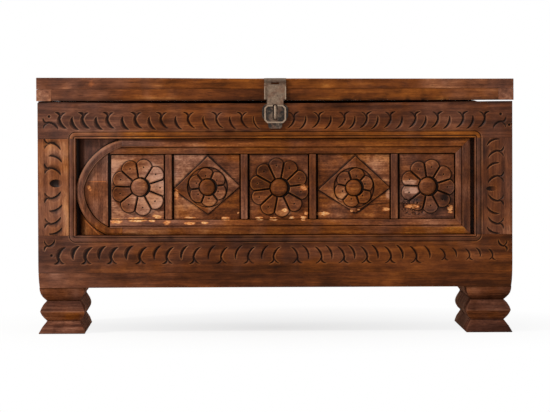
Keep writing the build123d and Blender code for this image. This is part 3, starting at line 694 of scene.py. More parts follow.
def circle(a, b, c):
    """Centre and radius of the circle through three points, from the equal distances to them."""
    m = 2 * np.array([[b[0] - a[0], b[1] - a[1]], [c[0] - a[0], c[1] - a[1]]])
    squares = [q[0] ** 2 + q[1] ** 2 for q in (a, b, c)]
    centre = np.linalg.solve(m, [squares[1] - squares[0], squares[2] - squares[0]])
    return centre, math.hypot(a[0] - centre[0], a[1] - centre[1])


apex = (panel_left, middle_z)
upper_arc = circle((arch_right, panel_high), (panel_left + 34.0, panel_high - 44.0), apex)
lower_arc = circle(apex, (panel_left + 21.5, panel_low + 39.0), (lower_arc_end, panel_low))


def inside_arch(x, z):
    """Distance inside the panel's rounded end: from the upper arc above the middle, the lower arc below it,
    and from the straight edges."""
    (cu, ru), (cl, rl) = upper_arc, lower_arc
    up = ru - np.hypot(x - cu[0], z - cu[1])
    down = rl - np.hypot(x - cl[0], z - cl[1])
    down = np.where(x > lower_arc_end, 1e3, down)
    share = smooth(middle_z - 9, middle_z + 9, z)
    s = down * (1 - share) + up * share
    s = np.where(down > 500, np.where(share > 0.5, up, 1e3), s)
    return np.minimum(s, np.minimum(z - panel_low, panel_high - z))


def arch_front(x, z):
    """Depth of the arched end's face by the distance inside the arch: sunk spandrels outside, then a bevel, a
    flat band and the sunk bed."""
    s = inside_arch(x, z)
    band = np.interp(s, arch_w, arch_drop)
    outside = smooth(-1.2, 0, s)
    bed = smooth(arch_band, arch_band + 1.4, s)
    sunk = 20 + 9.5 * (1 - smooth(panel_left + 2, panel_left + 22, x))
    return (sunk * (1 - outside) + band * outside) * (1 - bed) + 21 * bed


def arch_paint(p):
    """Dark spandrels outside the arch, the lower one warmer; their darkness is painted shade in these sunk
    corners, deepest toward the slot at the left. A pale outer arris along the band, strongest on the upper
    arc, is a painted highlight. The band is brown at its left and orange where it runs into the lower rail."""
    x, z = p[:, 0], p[:, 2]
    s = inside_arch(x, z)
    outside = 1 - smooth(-2.5, 0.5, s)
    low = 1 - smooth(middle_z - 40, middle_z + 10, z)
    foot = (1 - smooth(244, 276, z)) * (1 - outside)
    # Painted shade deepening toward the slot at the left.
    slot = 1 - smooth(panel_left + 4, panel_left + 24, x)
    flat = smooth(4.5, 6.5, s) * (1 - foot)
    scratch = np.abs((x + 422) + 1.0 * (z - 243)) < 1.6
    upper = smooth(middle_z - 20, middle_z + 30, z)
    seam = smooth(infill_right - 5.5, infill_right - 4.4, x) * smooth(17.4, 18.4, s)
    worn = 0.15 - 0.25 * flat * (1 - upper)
    return {
        "dull": outside * (0.35 - 0.5 * low) + (1 - outside) * worn - 0.55 * foot,
        "amber": outside * 0.4 * low + 0.25 * foot,
        "grime": outside * slot * 0.85 + 0.5 * smooth(15.6, 16.8, s) * low + seam,
        "fresh": 0.35 * outside * scratch * (z < 262),
        # Painted highlight on the band's outer arris, strongest above.
        "wear": (0.25 + 0.5 * upper) * smooth(0.3, 1.6, s) * (1 - smooth(2.6, 4.2, s)),
        # The spandrels' darker tone is painted shade.
        "tone": (
            outside * (0.10 * low - 0.09) + (1 - outside) * (0.04 - 0.06 * upper) - 0.13 * flat + 0.04 * foot
        ),
    }


def infill_front(x, z):
    """Depth of the half-moon board inside the arch: flat, falling away outside its edge."""
    s = inside_arch(x, z)
    return 9 * (1 - smooth(arch_band - 0.2, arch_band + 1.6, s))


board(
    "panel_arch_end", 1.0, 0.6, 2, arch_front, low=(panel_left, front, panel_low),
    high=(arch_right, arch_back, panel_high), reach=30.0, seed=29, dull=0.1, uneven=0.2, hollow=0.5,
    paint=arch_paint,
)


def infill_paint(p):
    """The half-moon board: greyed above a pale crack, browner below it, with painted shadow from the arch's
    band along its edge below the middle.
    """
    high = smooth(344, 356, p[:, 2])
    wander = 351 + 1.5 * (rough(p, 12.0, 3, 2) - 0.5)
    crack = np.exp(-(((p[:, 2] - wander) / 0.9) ** 2)) * (np.abs(p[:, 0] + 411) < 20)
    # Painted shadow from the band on the board's lower edge.
    rim = 1 - smooth(arch_band + 0.6, arch_band + 2.6, inside_arch(p[:, 0], p[:, 2]))
    return {
        "dull": 0.5 * high - 0.1 * (1 - high),
        "fresh": 0.4 * crack,
        "tone": 0.06 + 0.02 * high,
        "grime": 0.95 * rim * (1 - smooth(middle_z - 20, middle_z + 5, p[:, 2])),
    }


board(
    "arch_infill", 1.1, 0.8, 2, infill_front, seed=31, tone=0.04, reach=14.0, paint=infill_paint,
    marks=((-430, -187, 338, 5, 6, 0.55), (-427, -187, 331, 3, 3, 0.4)),
)


# ------------------------------------------------------------------ muntins and tiles


def petals(x, z, centre, count, turn, inner, outer, gap, rise, seed):
    """Height of a ring of flat petals. Round the centre each takes an equal angle. Its edge is the distance
    to the groove between two petals or to a round tip, whichever is nearer, and a dot is punched near the
    tip. On the right the petals start further from the middle."""
    dx, dz = x - centre[0], z - centre[1]
    r = np.hypot(dx, dz)
    part = 2 * math.pi / count
    angle = np.arctan2(dx, dz) - math.radians(turn)
    which = np.round(angle / part)
    local = angle - which * part
    number = np.mod(which, count)
    jitter = np.sin(number * 12.9898 + seed) * 43758.5453
    jitter = jitter - np.floor(jitter)
    outer = outer - 1.6 * jitter
    inner = inner + 2.6 * np.clip(dx / np.maximum(r, 1), 0, 1)
    groove = r * np.sin(part / 2 - np.abs(local)) - gap / 2
    tip_radius = 0.86 * outer * math.sin(part / 2)
    tip_at = outer - tip_radius
    along, across = r * np.cos(local), r * np.sin(local)
    tip = np.where(along > tip_at, tip_radius - np.hypot(along - tip_at, across), 99.0)
    edge = np.minimum(groove, tip)
    body = smooth(-0.2, 2.0, edge) * smooth(inner, inner + 2.2, r)
    dot = 1 - smooth(0.9, 2.6, np.hypot(along - (outer - 0.95 * tip_radius), across + 1.5 * (jitter - 0.5)))
    sag = 0.5 * smooth(0, 9, edge) + 1.0 * (jitter - 0.5)
    return body * (rise - sag) - 1.8 * dot * body


def quarters(ex, ez, values, soft):
    """Four values, for the upper left, upper right, lower left and lower right of the middle, eased into
    each other over `soft` to either side of it."""
    right, up = smooth(-soft, soft, ex), smooth(-soft, soft, ez)
    over = (1 - right) * values[0] + right * values[1]
    under = (1 - right) * values[2] + right * values[3]
    return up * over + (1 - up) * under


def petal_paint(
    centre, hub, outer, count, turn, seed, pale, box, grounds, facets, corners, swing, lean, gap
):
    """Paint of a tile. Each petal has its own tone by swing, and they grow paler by lean toward the side
    named by pale (x, z). grounds and facets are tones for the quarters. Painted shadow falls along the tile's
    edges against the frame, widest at the left, on the right of the boss and at the right-hand edge of the
    well; painted shade fills the lozenge's groove, most at its upper left."""
    low, high = box
    middle = (low + high) / 2

    def paint(p):
        x, z = p[:, 0], p[:, 2]
        dx, dz = x - centre[0], z - centre[1]
        r = np.hypot(dx, dz)
        part = 2 * math.pi / count
        which = np.mod(np.round((np.arctan2(dx, dz) - math.radians(turn)) / part), count)
        own = np.sin(which * 78.233 + seed * 3.7) * 43758.5453
        own = own - np.floor(own) - 0.5
        ring = smooth(hub, hub + 2, r) * (1 - smooth(outer - 5, outer + 1, r))
        way = np.clip((dx * pale[0] + dz * pale[1]) / 60, -1, 1)
        mottled = rough(p, 6.5, seed + 23, 3) - 0.5
        inside = 1 - smooth(hub - 1, hub + 1, r)
        tone = ring * (swing * own + lean * way + 0.25 * mottled) - 0.02 * inside
        dull = ring * (2.5 * swing * own + 1.6 * lean * way) - 0.2 * inside
        # Painted shadow on the right of raised parts, as cast by a light from the left.
        shadow_side = np.clip((0.98 * dx + 0.1 * dz) / np.maximum(r, 1), 0, 1) ** 0.7
        grime = 1.1 * shadow_side * smooth(hub - 3.0, hub - 0.8, r) * (1 - smooth(hub + 2.6, hub + 5.5, r))
        if corners is None:
            ground = smooth(outer - 3, outer + 2, r)
        else:
            s, ex, ez = within(x, z, corners)
            ground = 1 - smooth(-0.03, 0.0, s)
            facet = smooth(0, 0.04, s) * smooth(45, 47, r)
            shade = quarters(ex, ez, facets, 1.5)
            tone += facet * (shade + 0.2 * mottled)
            dull += facet * 1.5 * shade
            # Painted shade in the lozenge's groove, heavier toward the upper left.
            high_left = smooth(-30, 30, ez - 0.6 * ex)
            broken = 0.45 + rough(p, 16.0, seed + 37, 2)
            groove = smooth(-0.095, -0.075, s) * (1 - smooth(-0.022, 0.0, s))
            grime += (0.35 + 0.3 * high_left) * broken * groove
            # Painted shadow at the well's right-hand edge.
            grime += 0.9 * shadow_side * smooth(outer - 1.5, outer - 0.5, r) * (1 - smooth(outer + 1, outer + 3.5, r))
        shade = quarters(x - middle[0], z - middle[2], grounds, 16)
        tone += ground * (shade + (0.3 + 1.2 * np.abs(shade)) * mottled)
        dull += ground * 1.6 * shade
        # Painted shadow along the tile's edges under the frame, widest at the left.
        edge_shadow = 1 - smooth(gap + 0.4, gap + 1.8, x - low[0])
        edge_shadow = np.maximum(edge_shadow, 0.9 * (1 - smooth(1.4, 2.8, high[0] - x)))
        edge_shadow = np.maximum(edge_shadow, 0.7 * (1 - smooth(0.8, 2.2, high[2] - z)))
        return {"tone": tone, "dull": dull, "grime": grime + edge_shadow}

    return paint


def boss(x, z, centre, radius, rise):
    """Height of a low round boss: a shallow dome, its rim falling as a quarter of an ellipse."""
    r = np.hypot(x - centre[0], z - centre[1]) / radius
    fall = np.clip((r - 0.6) / 0.4, 0, 1)
    return (rise - 1.4 * r * r) * np.sqrt(np.clip(1 - fall**2, 0, 1)) * (r < 1)


def tooled(up, p, seed, deep):
    """A carved height left uneven by the tool: noise `deep` high in cells of 9, 0.5 high in cells of 30."""
    return up - deep * (rough(p, 9.0, seed, 3) - 0.5) - 0.5 * (rough(p, 30.0, seed + 1, 2) - 0.5)


def within(x, z, corners):
    """How far points lie inside a lozenge, from 1 at its middle to 0 on its edge, with their distances from
    its diagonals. corners are its middle, its reach to the left, right, top and foot, and the slope of its
    long diagonal."""
    cx, cz, left, right, up, down, slope = corners
    ex = x - cx
    ez = z - cz - slope * ex
    share = 1 - np.abs(ex) / np.where(ex < 0, left, right) - np.abs(ez) / np.where(ez < 0, down, up)
    return share, ex, ez


def rosette(centre, outer, count, turn, seed, bad=()):
    """A tile's front: a boss in a ring of petals on a sunk ground. bad are broken places (x, z, radius,
    depth), ragged by noise."""

    def height(x, z):
        up = np.maximum(petals(x, z, centre, count, turn, 21.5, outer, 2.4, 6.5, seed), 0)
        up = np.maximum(up, boss(x, z, centre, 20.0, 11.0))
        p = np.stack([x, x * 0 + seed, z], 1)
        up = tooled(up, p, seed, 0.7)
        for bx, bz, br, deep in bad:
            d = np.hypot(x - bx, z - bz) + 5 * (rough(p, 6.0, seed + 4, 2) - 0.5)
            up = up - deep * (1 - smooth(0.5 * br, br, d)) * (0.5 + rough(p, 4.0, seed + 8, 2))
        return -up

    return height


def lozenge(centre, corners, turn, seed):
    """A tile's front: a raised lozenge whose four facets slope outward from a round well that holds a
    six-petalled flower. A facet's height grows with the distance inside the lozenge's edge, and a groove
    runs round that edge."""

    def height(x, z):
        d = 50 * within(x, z, corners)[0]
        r = np.hypot(x - centre[0], z - centre[1])
        plate = np.interp(d, [-5.4, -3.2, -0.9, 1.1, 16], [0, -3.8, -3.8, 2.6, 8.0])
        well = smooth(46.0, 48.0, r)
        flower = np.maximum(petals(x, z, centre, 6, turn, 19.5, 46.0, 2.6, 5.2, seed), 0)
        up = plate * well + (1 - well) * (1.5 + flower)
        up = np.maximum(up, boss(x, z, centre, 18.5, 10.0))
        return -tooled(up, np.stack([x, x * 0 + seed, z], 1), seed, 0.9)

    return height


def tile(
    name, centre, outer, seed, count, turn, pale, grounds, corners=None, facets=None, bad=(), more=None,
    swing=0.16, lean=0.2, gap=2.6, **look,
):
    """A carved tile: its CAD box with the ground as its face, the carving raised from it, and its edges cut
    back where it meets the muntins. more(p) gives paint of its own."""
    low, high = box_mm(name)
    low[1] = tile_ground
    hub = 18.5 if corners else 20.0
    if corners:
        raised = lozenge(centre, corners, turn, seed)
    else:
        raised = rosette(centre, outer, count, turn, seed, bad)
    base = petal_paint(
        centre, hub, outer, count, turn, seed, pale, (low, high), grounds, facets, corners, swing, lean, gap
    )

    def carve(x, z):
        share = 1 - smooth(gap, gap + 1, x - low[0])
        share = np.maximum(share, 0.8 * (1 - smooth(1.0, 1.9, high[0] - x)))
        share = np.maximum(share, 0.5 * (1 - smooth(0.6, 1.5, high[2] - z)))
        return raised(x, z) * (1 - share) + 7.0 * share

    board(
        name, 0.95, 0.8, 0, carve, low=low, high=high, seed=seed, uneven=0.2, fine=1.1, hollow=1.3,
        paint=lambda p: added(base(p), more, p), **look,
    )


def crack(p, path_x, path_z):
    """How near points lie to a wandering crack drawn through (path_x, path_z), from 0 to 1: e to the minus
    square of their height from it over 1.3."""
    z = np.interp(p[:, 0], path_x, path_z) + 1.4 * (rough(p, (9, 50, 50), 5, 2) - 0.5)
    reach = (p[:, 0] > path_x[0]) & (p[:, 0] < path_x[-1])
    return reach * np.exp(-(((p[:, 2] - z) / 1.3) ** 2))


def spot(p, x, z, long, high):
    """A soft ragged spot from 0 to 1 round (x, z)."""
    d = np.hypot((p[:, 0] - x) / long, (p[:, 2] - z) / high) + 0.6 * (rough(p, 5.0, 9, 2) - 0.5)
    return 1 - smooth(0.6, 1.2, d)


def split_right(p):
    """The long crack across the fourth and fifth tiles and the rubbed strip at the fourth tile's right."""
    line = crack(p, (193, 207, 216, 262, 322), (278, 288, 296, 299, 297))
    strip = spot(p, 261, 320, 6, 14)
    return {"grime": 0.9 * line, "tone": 0.3 * strip, "dull": 0.6 * strip - 0.2 * line}


def worn_right(p):
    """The fifth tile's two rubbed petals, its crack, its broken petal and its dark stain."""
    line = crack(p, (270, 284, 322), (299, 299, 296))
    pale = spot(p, 309, 346, 19, 7.5) + spot(p, 313, 328, 18, 8.5)
    torn = spot(p, 312, 305, 26, 6)
    return {
        "grime": 0.85 * line + 0.8 * spot(p, 391, 312, 12, 9) + 0.3 * torn,
        "tone": 0.40 * pale - 0.06 * torn,
        "dull": 0.5 * pale + 0.7 * torn,
    }


tile(
    "tile_1", (-312.5, 337.5), 66.5, 41, 9, 12, (0.85, -0.1), (0.16, -0.04, 0.10, -0.06),
    tone=0.22, dull=0.25, swing=0.06, lean=0.36, gap=0.9,
    marks=((-318, -188, 266, 24, 2.4, 0.9), (-272, -188, 270, 13, 4.5, 1), (-365, -188, 264, 12, 2.0, 0.7)),
)
tile(
    "tile_2", (-156.6, 337.0), 46, 43, 6, -8, (0.5, -0.2), (0.20, -0.02, 0.10, -0.06),
    corners=(-155.4, 336.0, 79.0, 74.5, 72.5, 61.5, 0.046), facets=(-0.10, 0.14, -0.04, 0.16),
    tone=0.09, dull=0.05,
    marks=(
        (-196, -188, 267, 12, 1.8, 0.9), (-228, -188, 320, 5, 14, 0.55), (-116, -188, 266, 12, 2.6, 0.8),
        (-86, -188, 277, 4, 2.5, 0.9),
    ),
)
tile(
    "tile_3", (9.0, 335.5), 69, 47, 10, -7, (0.3, -0.5), (0.08, 0.08, 0.02, 0.02), tone=0.02,
    marks=(
        (66, -190, 335.5, 10.5, 8, 0.5), (-37, -188, 266, 9, 2.2, 1), (-5, -188, 266, 9, 2.2, 1),
        (38, -188, 266, 7, 2.4, 1), (20, -189, 283.5, 8, 4.5, 1), (64, -188, 267, 7, 5, 0.9),
        (71, -188, 276, 5, 4, 0.7),
    ),
)
tile(
    "tile_4", (181.5, 335.0), 46, 53, 6, 12, (-0.3, -0.3), (0.03, 0.13, 0.0, 0.02),
    corners=(185.0, 333.0, 85.5, 80.0, 75.0, 57.0, 0.026), facets=(0.02, -0.02, 0.12, 0.0), more=split_right,
    tone=0.11, dull=-0.05,
    marks=(
        (115, -188, 275, 12, 4.2, 0.9), (101, -188, 275, 6, 5, 0.5), (176, -188, 282, 4.5, 3, 0.9),
        (193, -188, 284, 4.5, 2.4, 0.7), (256, -188, 285, 10, 3.5, 0.8),
    ),
)
tile(
    "tile_5", (352.0, 337.5), 64, 59, 9, 12, (-0.3, 0.0), (0.0, 0.06, 0.04, 0.0), more=worn_right,
    tone=0.08, dull=0.15, bad=((312, 292, 26, 4.5), (330, 283, 18, 3.5)),
    marks=((404, -190, 285, 6.5, 10, 0.75), (315, -189, 291, 16, 5, 0.6)),
)
muntin_looks = ((0.18, 0.4, 61), (0.02, 0.35, 67), (-0.03, 0.1, 71), (0.0, 0.3, 73))
for number, (tone, dull, seed) in enumerate(muntin_looks, 1):
    board(f"muntin_{number}", 1.6, 2.4, 2, seed=seed, tone=tone, dull=dull, uneven=0.5)
board("panel_backboard", 16.0, 0.8, 0, seed=79, tone=-0.35)


# ------------------------------------------------------------------ feet

foot_heights = np.array(
    [0, 1.2, 14.5, 28, 29, 30, 36, 43, 49.6, 51, 52.4, 60, 68, 74.3, 75.5, 76.6, 81, 86, 92, 99, 106]
)
foot_insets = np.array(
    [0.9, 0, 7.4, 17.9, 18.8, 17.9, 12.2, 7, 3.9, 3.3, 3.6, 6.6, 11.4, 17.2, 18.8, 17.6, 13, 8.6, 4.9, 2.9, 2]
)
inner_heights = np.array([0, 1.2, 14.5, 28, 30, 36, 43, 48, 52.5, 60, 68, 75, 78, 86, 96, 106])
inner_insets = np.array([0.9, 0, 4.4, 12.5, 12.5, 6.5, 2.6, 1.4, 1.4, 3.6, 8.0, 11.8, 11.8, 5.5, 1.6, 0.4])


def foot(name, seed, tone, dull, **more):
    """A sledge foot: at every height a rectangle drawn in from the foot's outline by its profile, less deeply
    on its inner side, with corners of radius r. A ring holds where each point lies from -1 to 1 across and
    along the foot and the direction of its rounding, made for one side and turned by quarters."""
    low, high = box_mm(name)
    middle = (low + high) / 2
    half_depth = (high[1] - low[1]) / 2
    z = np.unique(np.concatenate([np.arange(0, 106, 1.5), foot_heights, inner_heights]))
    inset = np.interp(z, foot_heights, foot_insets)
    inner = np.interp(z, inner_heights, inner_insets)
    left, right = (inset, inner) if middle[0] < 0 else (inner, inset)
    r = 1.6
    corner = np.linspace(0, math.pi / 2, 5)
    parts = []
    for turn, (c, s) in enumerate(((1, 0), (0, 1), (-1, 0), (0, -1))):
        a = corner + (turn - 1) * math.pi / 2
        parts.append(np.stack([np.full(5, c + s), np.full(5, s - c), np.cos(a), np.sin(a)], 1))
        along = np.linspace(-1, 1, 54 if turn % 2 else 84)[1:-1]
        flat = np.ones(len(along))
        parts.append(np.stack([c * flat - s * along, s * flat + c * along, c * flat, s * flat], 1))
    ring = np.concatenate(parts)
    share = (ring[:, 0] + 1) / 2
    x_left = (low[0] + left[:, None] + r) * (1 - share)
    x_right = (high[0] - right[:, None] - r) * share
    x = x_left + x_right + r * ring[:, 2]
    y = middle[1] + ring[:, 1] * (half_depth - inset[:, None] - r) + r * ring[:, 3]
    rings = np.stack([x, y, np.broadcast_to(z[:, None], x.shape)], -1)
    p, quads, caps = tube(rings)
    n = normals(p, quads)
    p[:, :2] -= n[:, :2] * (0.7 * rough(p, (60, 60, 12), seed + 2, 3))[:, None]
    return wooden(name, p, quads, caps, grain=0, seed=seed, tone=tone, dull=dull, **more)


def foot_paint(p):
    """The slopes of a foot are toned by the way they face, a painted light and shade: its neck and the lower
    slope of its belly are warm, with a golden patch, and the other slopes dull. Its inner side is dull and
    painted lighter, standing in for light from the floor, and painted shade darkens it near the front. It is
    darker at its foot, in the notch under its neck and at its top."""
    z = p[:, 2]
    neck = smooth(74.5, 77, z)
    lower = smooth(29, 31, z) * (1 - smooth(49.5, 51.5, z))
    warm = np.maximum(neck, lower)
    upper = smooth(51, 52.5, z) * (1 - smooth(74, 76, z))
    under = smooth(96, 105, z)
    from_side = np.abs(p[:, 0]) - foot_inner_side - np.interp(z, inner_heights, inner_insets)
    from_front = p[:, 1] - front - np.interp(z, foot_heights, foot_insets)
    inner_side = (1 - smooth(1.4, 3.0, from_side)) * smooth(1.5, 4.0, from_front)
    at_right = p[:, 0] > 0
    # Painted shade on the front part of the inner side, stronger on the right foot.
    ahead = (1 - smooth(-165, -80, p[:, 1])) * np.where(at_right, 0.66, 0.3)
    gold = lower * spot(p, np.where(at_right, 507, -470), 41, 21, 9)
    gold = gold + 0.7 * smooth(-500, -530, p[:, 0]) * neck
    base = 1 - warm - upper
    low = 1 - smooth(4, 13, z)
    outward = neck * (0.2 * smooth(84, 98, z) - 0.15) + 0.03 * lower - 0.28 * upper
    outward = outward + base * (0.02 - 0.14 * low)
    outward = outward + at_right * (0.18 * upper - 0.02 * lower - 0.19 * base)
    return {
        # The inner side painted lighter, as light from the floor; the slopes toned by the way they face,
        # painted light and shade.
        "tone": (1 - inner_side) * outward + (0.5 - ahead) * inner_side,
        "dull": 0.4 * (1 - warm) - 0.15 * warm + 0.6 * inner_side - 0.2 * gold,
        "amber": (0.02 * warm + 0.4 * gold) * (1 - inner_side),
        "grime": 0.35 * under + 0.5 * (1 - smooth(0.5, 3.5, z)) + 0.4 * np.exp(-(((z - 76.5) / 2.5) ** 2)),
    }


foot("foot_left", 83, 0.02, 0.10, paint=foot_paint)
foot("foot_right", 89, 0.14, 0.12, paint=foot_paint)


# ------------------------------------------------------------------ lid


def lid_plank(p):
    """The lid's planks grow four millimetres thicker toward the left, and are cut away to lie on the rim."""
    rise = np.interp(p[:, 0], (-550, -300, -60, 60, 300, 550), (4.1, 3.2, 0.9, 0.9, 0.0, -0.8))
    p[:, 2] += rise * smooth(572, 585, p[:, 2])
    out = (np.abs(p[:, 0]) - rim_inner_half, rim_inner_front - p[:, 1], p[:, 1] - rim_inner_back)
    over_rim = smooth(-1, 1, np.max(out, 0))
    p[:, 2] += (lid_seam - plank_foot) * over_rim * (1 - smooth(560, 572, p[:, 2]))
    return p


def hinge_room(way):
    """Room for the hinges in the face that they are let into: a shallow bed under each leaf, and round the
    barrel a groove whose depth is the root of its radius squared less the distance from the pin squared."""

    def shape(p):
        along = np.abs(np.abs(p[:, 0]) - hinge_x) < 36.5
        behind = p[:, 1] - hinge_y
        bed = 1.75 * (np.abs(behind + 8) < 8.4)
        groove = np.sqrt(np.maximum(4.7**2 - behind**2, 0))
        face = np.abs(p[:, 2] - hinge_seat) < 0.8
        p[:, 2] += way * along * face * np.maximum(bed, groove)
        return p

    return shape


def rim(name, step, edge, grain, **look):
    """A strip of the lid's rim, from its CAD box's foot up to the planks."""
    low, high = box_mm(name)
    high[2] = lid_seam
    board(name, step, edge, grain, low=low, high=high, **look)


def rim_paint(p):
    """The rim's front strip: painted shade toward its lower edge over the gap to the body, amber toward the
    right and paler at its end.
    """
    x = p[:, 0]
    warm = smooth(-420, -150, x) * (1 - smooth(330, 450, x))
    middle = smooth(-260, -180, x) * (1 - smooth(-60, 40, x))
    return {
        "grime": 0.65 * (1 - smooth(537, 547, p[:, 2])),
        "amber": 0.2 * warm + 0.25 * smooth(-100, 200, x),
        "dull": -0.4 * warm,
        "tone": 0.12 * smooth(0, 200, x) - 0.07 * middle + 0.1 * smooth(300, 420, x),
    }


def plank_paint(p):
    """The front plank's edge: a knot, a little darker in the middle and paler at the right end."""
    x = p[:, 0]
    from_knot = np.hypot((x + 422.7) / 6, (p[:, 2] - 576.0) / 6) + 0.4 * (rough(p, 4.0, 5, 2) - 0.5)
    knot = 1 - smooth(0.5, 1.2, from_knot)
    middle = smooth(-260, -180, x) * (1 - smooth(-60, 20, x))
    end = smooth(280, 400, x)
    return {
        "tone": 0.12 * knot + (0.06 * smooth(40, 120, x) - 0.06 * middle + 0.07 * end),
        "fresh": 0.15 * knot,
        "dull": 0.2 * end - 0.2 * smooth(-300, -200, x) * (1 - end),
    }


board(
    "lid_plank_front", 4.0, 1.3, 0, seed=97, tone=0.03, uneven=0.3, amber=0.2, shape=lid_plank,
    paint=plank_paint,
)
board("lid_plank_rear", 6.5, 2.0, 0, seed=101, tone=-0.02, uneven=0.5, shape=lid_plank)
rim("lid_rim_front", 3.0, 1.0, 0, seed=103, tone=0.03, uneven=0.25, amber=0.15, paint=rim_paint)
rim(
    "lid_rim_back", 5.0, 0.4, 0, seed=107, tone=-0.02, uneven=0.0, shape=hinge_room(1),
    dense=(None, (183, 212, 2), None),
)
rim("lid_rim_left", 3.0, 0.8, 1, seed=109, tone=0.16, amber=0.3, uneven=0.2)
rim("lid_rim_right", 3.6, 0.8, 1, seed=113, tone=0.12, uneven=0.2)
for side, seed in (("left", 127), ("right", 131)):
    board(f"lid_batten_{side}", 5.0, 2.0, 1, seed=seed, tone=0.05)


# ------------------------------------------------------------------ sides, back and floor

for side, seed in (("left", 140), ("right", 160)):
    for part, grain, tone, edge, uneven in (
        ("top_rail", 1, 0.0, 0.5, 0.0),
        ("bottom_rail", 1, -0.03, 1.6, 0.4),
        ("front_stile", 2, 0.02, 0.8, 0.3),
        ("rear_stile", 2, -0.02, 0.8, 0.3),
        ("panel", 1, 0.03, 1.6, 0.4),
    ):
        name = f"side_{side}_{part}"
        low, high = box_mm(name)
        if high[2] > body_high:
            high[2] += light_seal
        board(
            name, 4.0, edge, grain, seed=seed + len(part), tone=tone, uneven=uneven, low=low, high=high,
            shape=worn_corner,
        )


def worn_end(p):
    """The upper back plank's edge, let in for the hinges and worn down at its right end."""
    p = hinge_room(-1)(p)
    p[:, 2] -= np.interp(p[:, 0], (484, 496, 517), (0, 3.4, 4.0)) * smooth(528, body_high, p[:, 2])
    return p


back_low, back_high = box_mm("back_plank_upper")
back_high[2] += light_seal
board(
    "back_plank_upper", 6.0, 0.4, 0, seed=181, uneven=0.0, low=back_low, high=back_high, shape=worn_end,
    dense=(None, (180, 200, 2), None),
)
board("back_plank_lower", 8.0, 1.6, 0, seed=191, tone=-0.04, uneven=0.6)
board("floor_board_front", 11.0, 1.6, 0, seed=193, tone=0.02)
board("floor_board_rear", 11.0, 1.6, 0, seed=197, tone=0.04)
for side, seed in (("left", 199), ("right", 211)):
    board(f"floor_bearer_{side}", 9.0, 1.6, 1, seed=seed, tone=-0.05)


# ------------------------------------------------------------------ materials


def tint(r, g, b):
    """A colour written as 0 to 255 display values, as the linear values that shaders take."""
    c = np.array([r, g, b]) / 255
    c = np.where(c <= 0.04045, c / 12.92, ((c + 0.055) / 1.055) ** 2.4)
    return (float(c[0]), float(c[1]), float(c[2]), 1.0)


class Shader:
    """A short way to lay out the nodes of a material or a world."""

    def __init__(self, owner):
        self.owner = owner
        owner.use_nodes = True
        self.tree = owner.node_tree
        self.tree.nodes.clear()

    def add(self, kind, links=None, **settings):
        node = self.tree.nodes.new(kind)
        for key, value in settings.items():
            setattr(node, key, value)
        for key, value in (links or {}).items():
            socket = node.inputs[key]
            if isinstance(value, bpy.types.NodeSocket):
                self.tree.links.new(value, socket)
            else:
                socket.default_value = value
        return node

    def value(self, name):
        return self.add("ShaderNodeAttribute", attribute_name=name).outputs["Fac"]

    def vector(self, name):
        return self.add("ShaderNodeAttribute", attribute_name=name).outputs["Vector"]

    def math(self, operation, a, b=0.0, c=0.0, clamp=False):
        node = self.add("ShaderNodeMath", {0: a, 1: b, 2: c}, operation=operation, use_clamp=clamp)
        return node.outputs[0]

    def stretched(self, source, scale):
        return self.add("ShaderNodeMapping", {"Vector": source, "Scale": scale}).outputs[0]

    def cloud(self, source, scale, detail=3.0, roughness=0.55, distortion=0.0):
        links = {"Vector": source, "Scale": scale, "Detail": detail, "Roughness": roughness}
        links["Distortion"] = distortion
        return self.add("ShaderNodeTexNoise", links).outputs["Fac"]

    def ramp(self, fac, stops):
        node = self.add("ShaderNodeValToRGB", {"Fac": fac})
        ramp = node.color_ramp
        while len(ramp.elements) < len(stops):
            ramp.elements.new(0.5)
        for element, (position, colour) in zip(ramp.elements, stops):
            element.position = position
            element.color = colour
        return node.outputs["Color"]

    def mix(self, fac, a, b):
        return self.add("ShaderNodeMixRGB", {"Fac": fac, "Color1": a, "Color2": b}).outputs[0]

    def surface(self, colour, roughness, bump, distance, **more):
        links = {"Height": bump, "Strength": 1.0, "Distance": distance}
        raised = self.add("ShaderNodeBump", links).outputs[0]
        links = {"Base Color": colour, "Roughness": roughness, "Normal": raised}
        links.update(more)
        shader = self.add("ShaderNodeBsdfPrincipled", links).outputs[0]
        self.add("ShaderNodeOutputMaterial", {"Surface": shader})
        return self.owner


warm_stops = ((30, 12, 4), (68, 33, 13), (94, 48, 21), (126, 68, 30), (184, 116, 60))
amber_stops = ((46, 20, 3), (84, 42, 8), (116, 60, 16), (150, 84, 24), (206, 138, 62))
grey_stops = ((40, 24, 20), (76, 46, 36), (102, 63, 48), (138, 92, 72), (188, 140, 116))


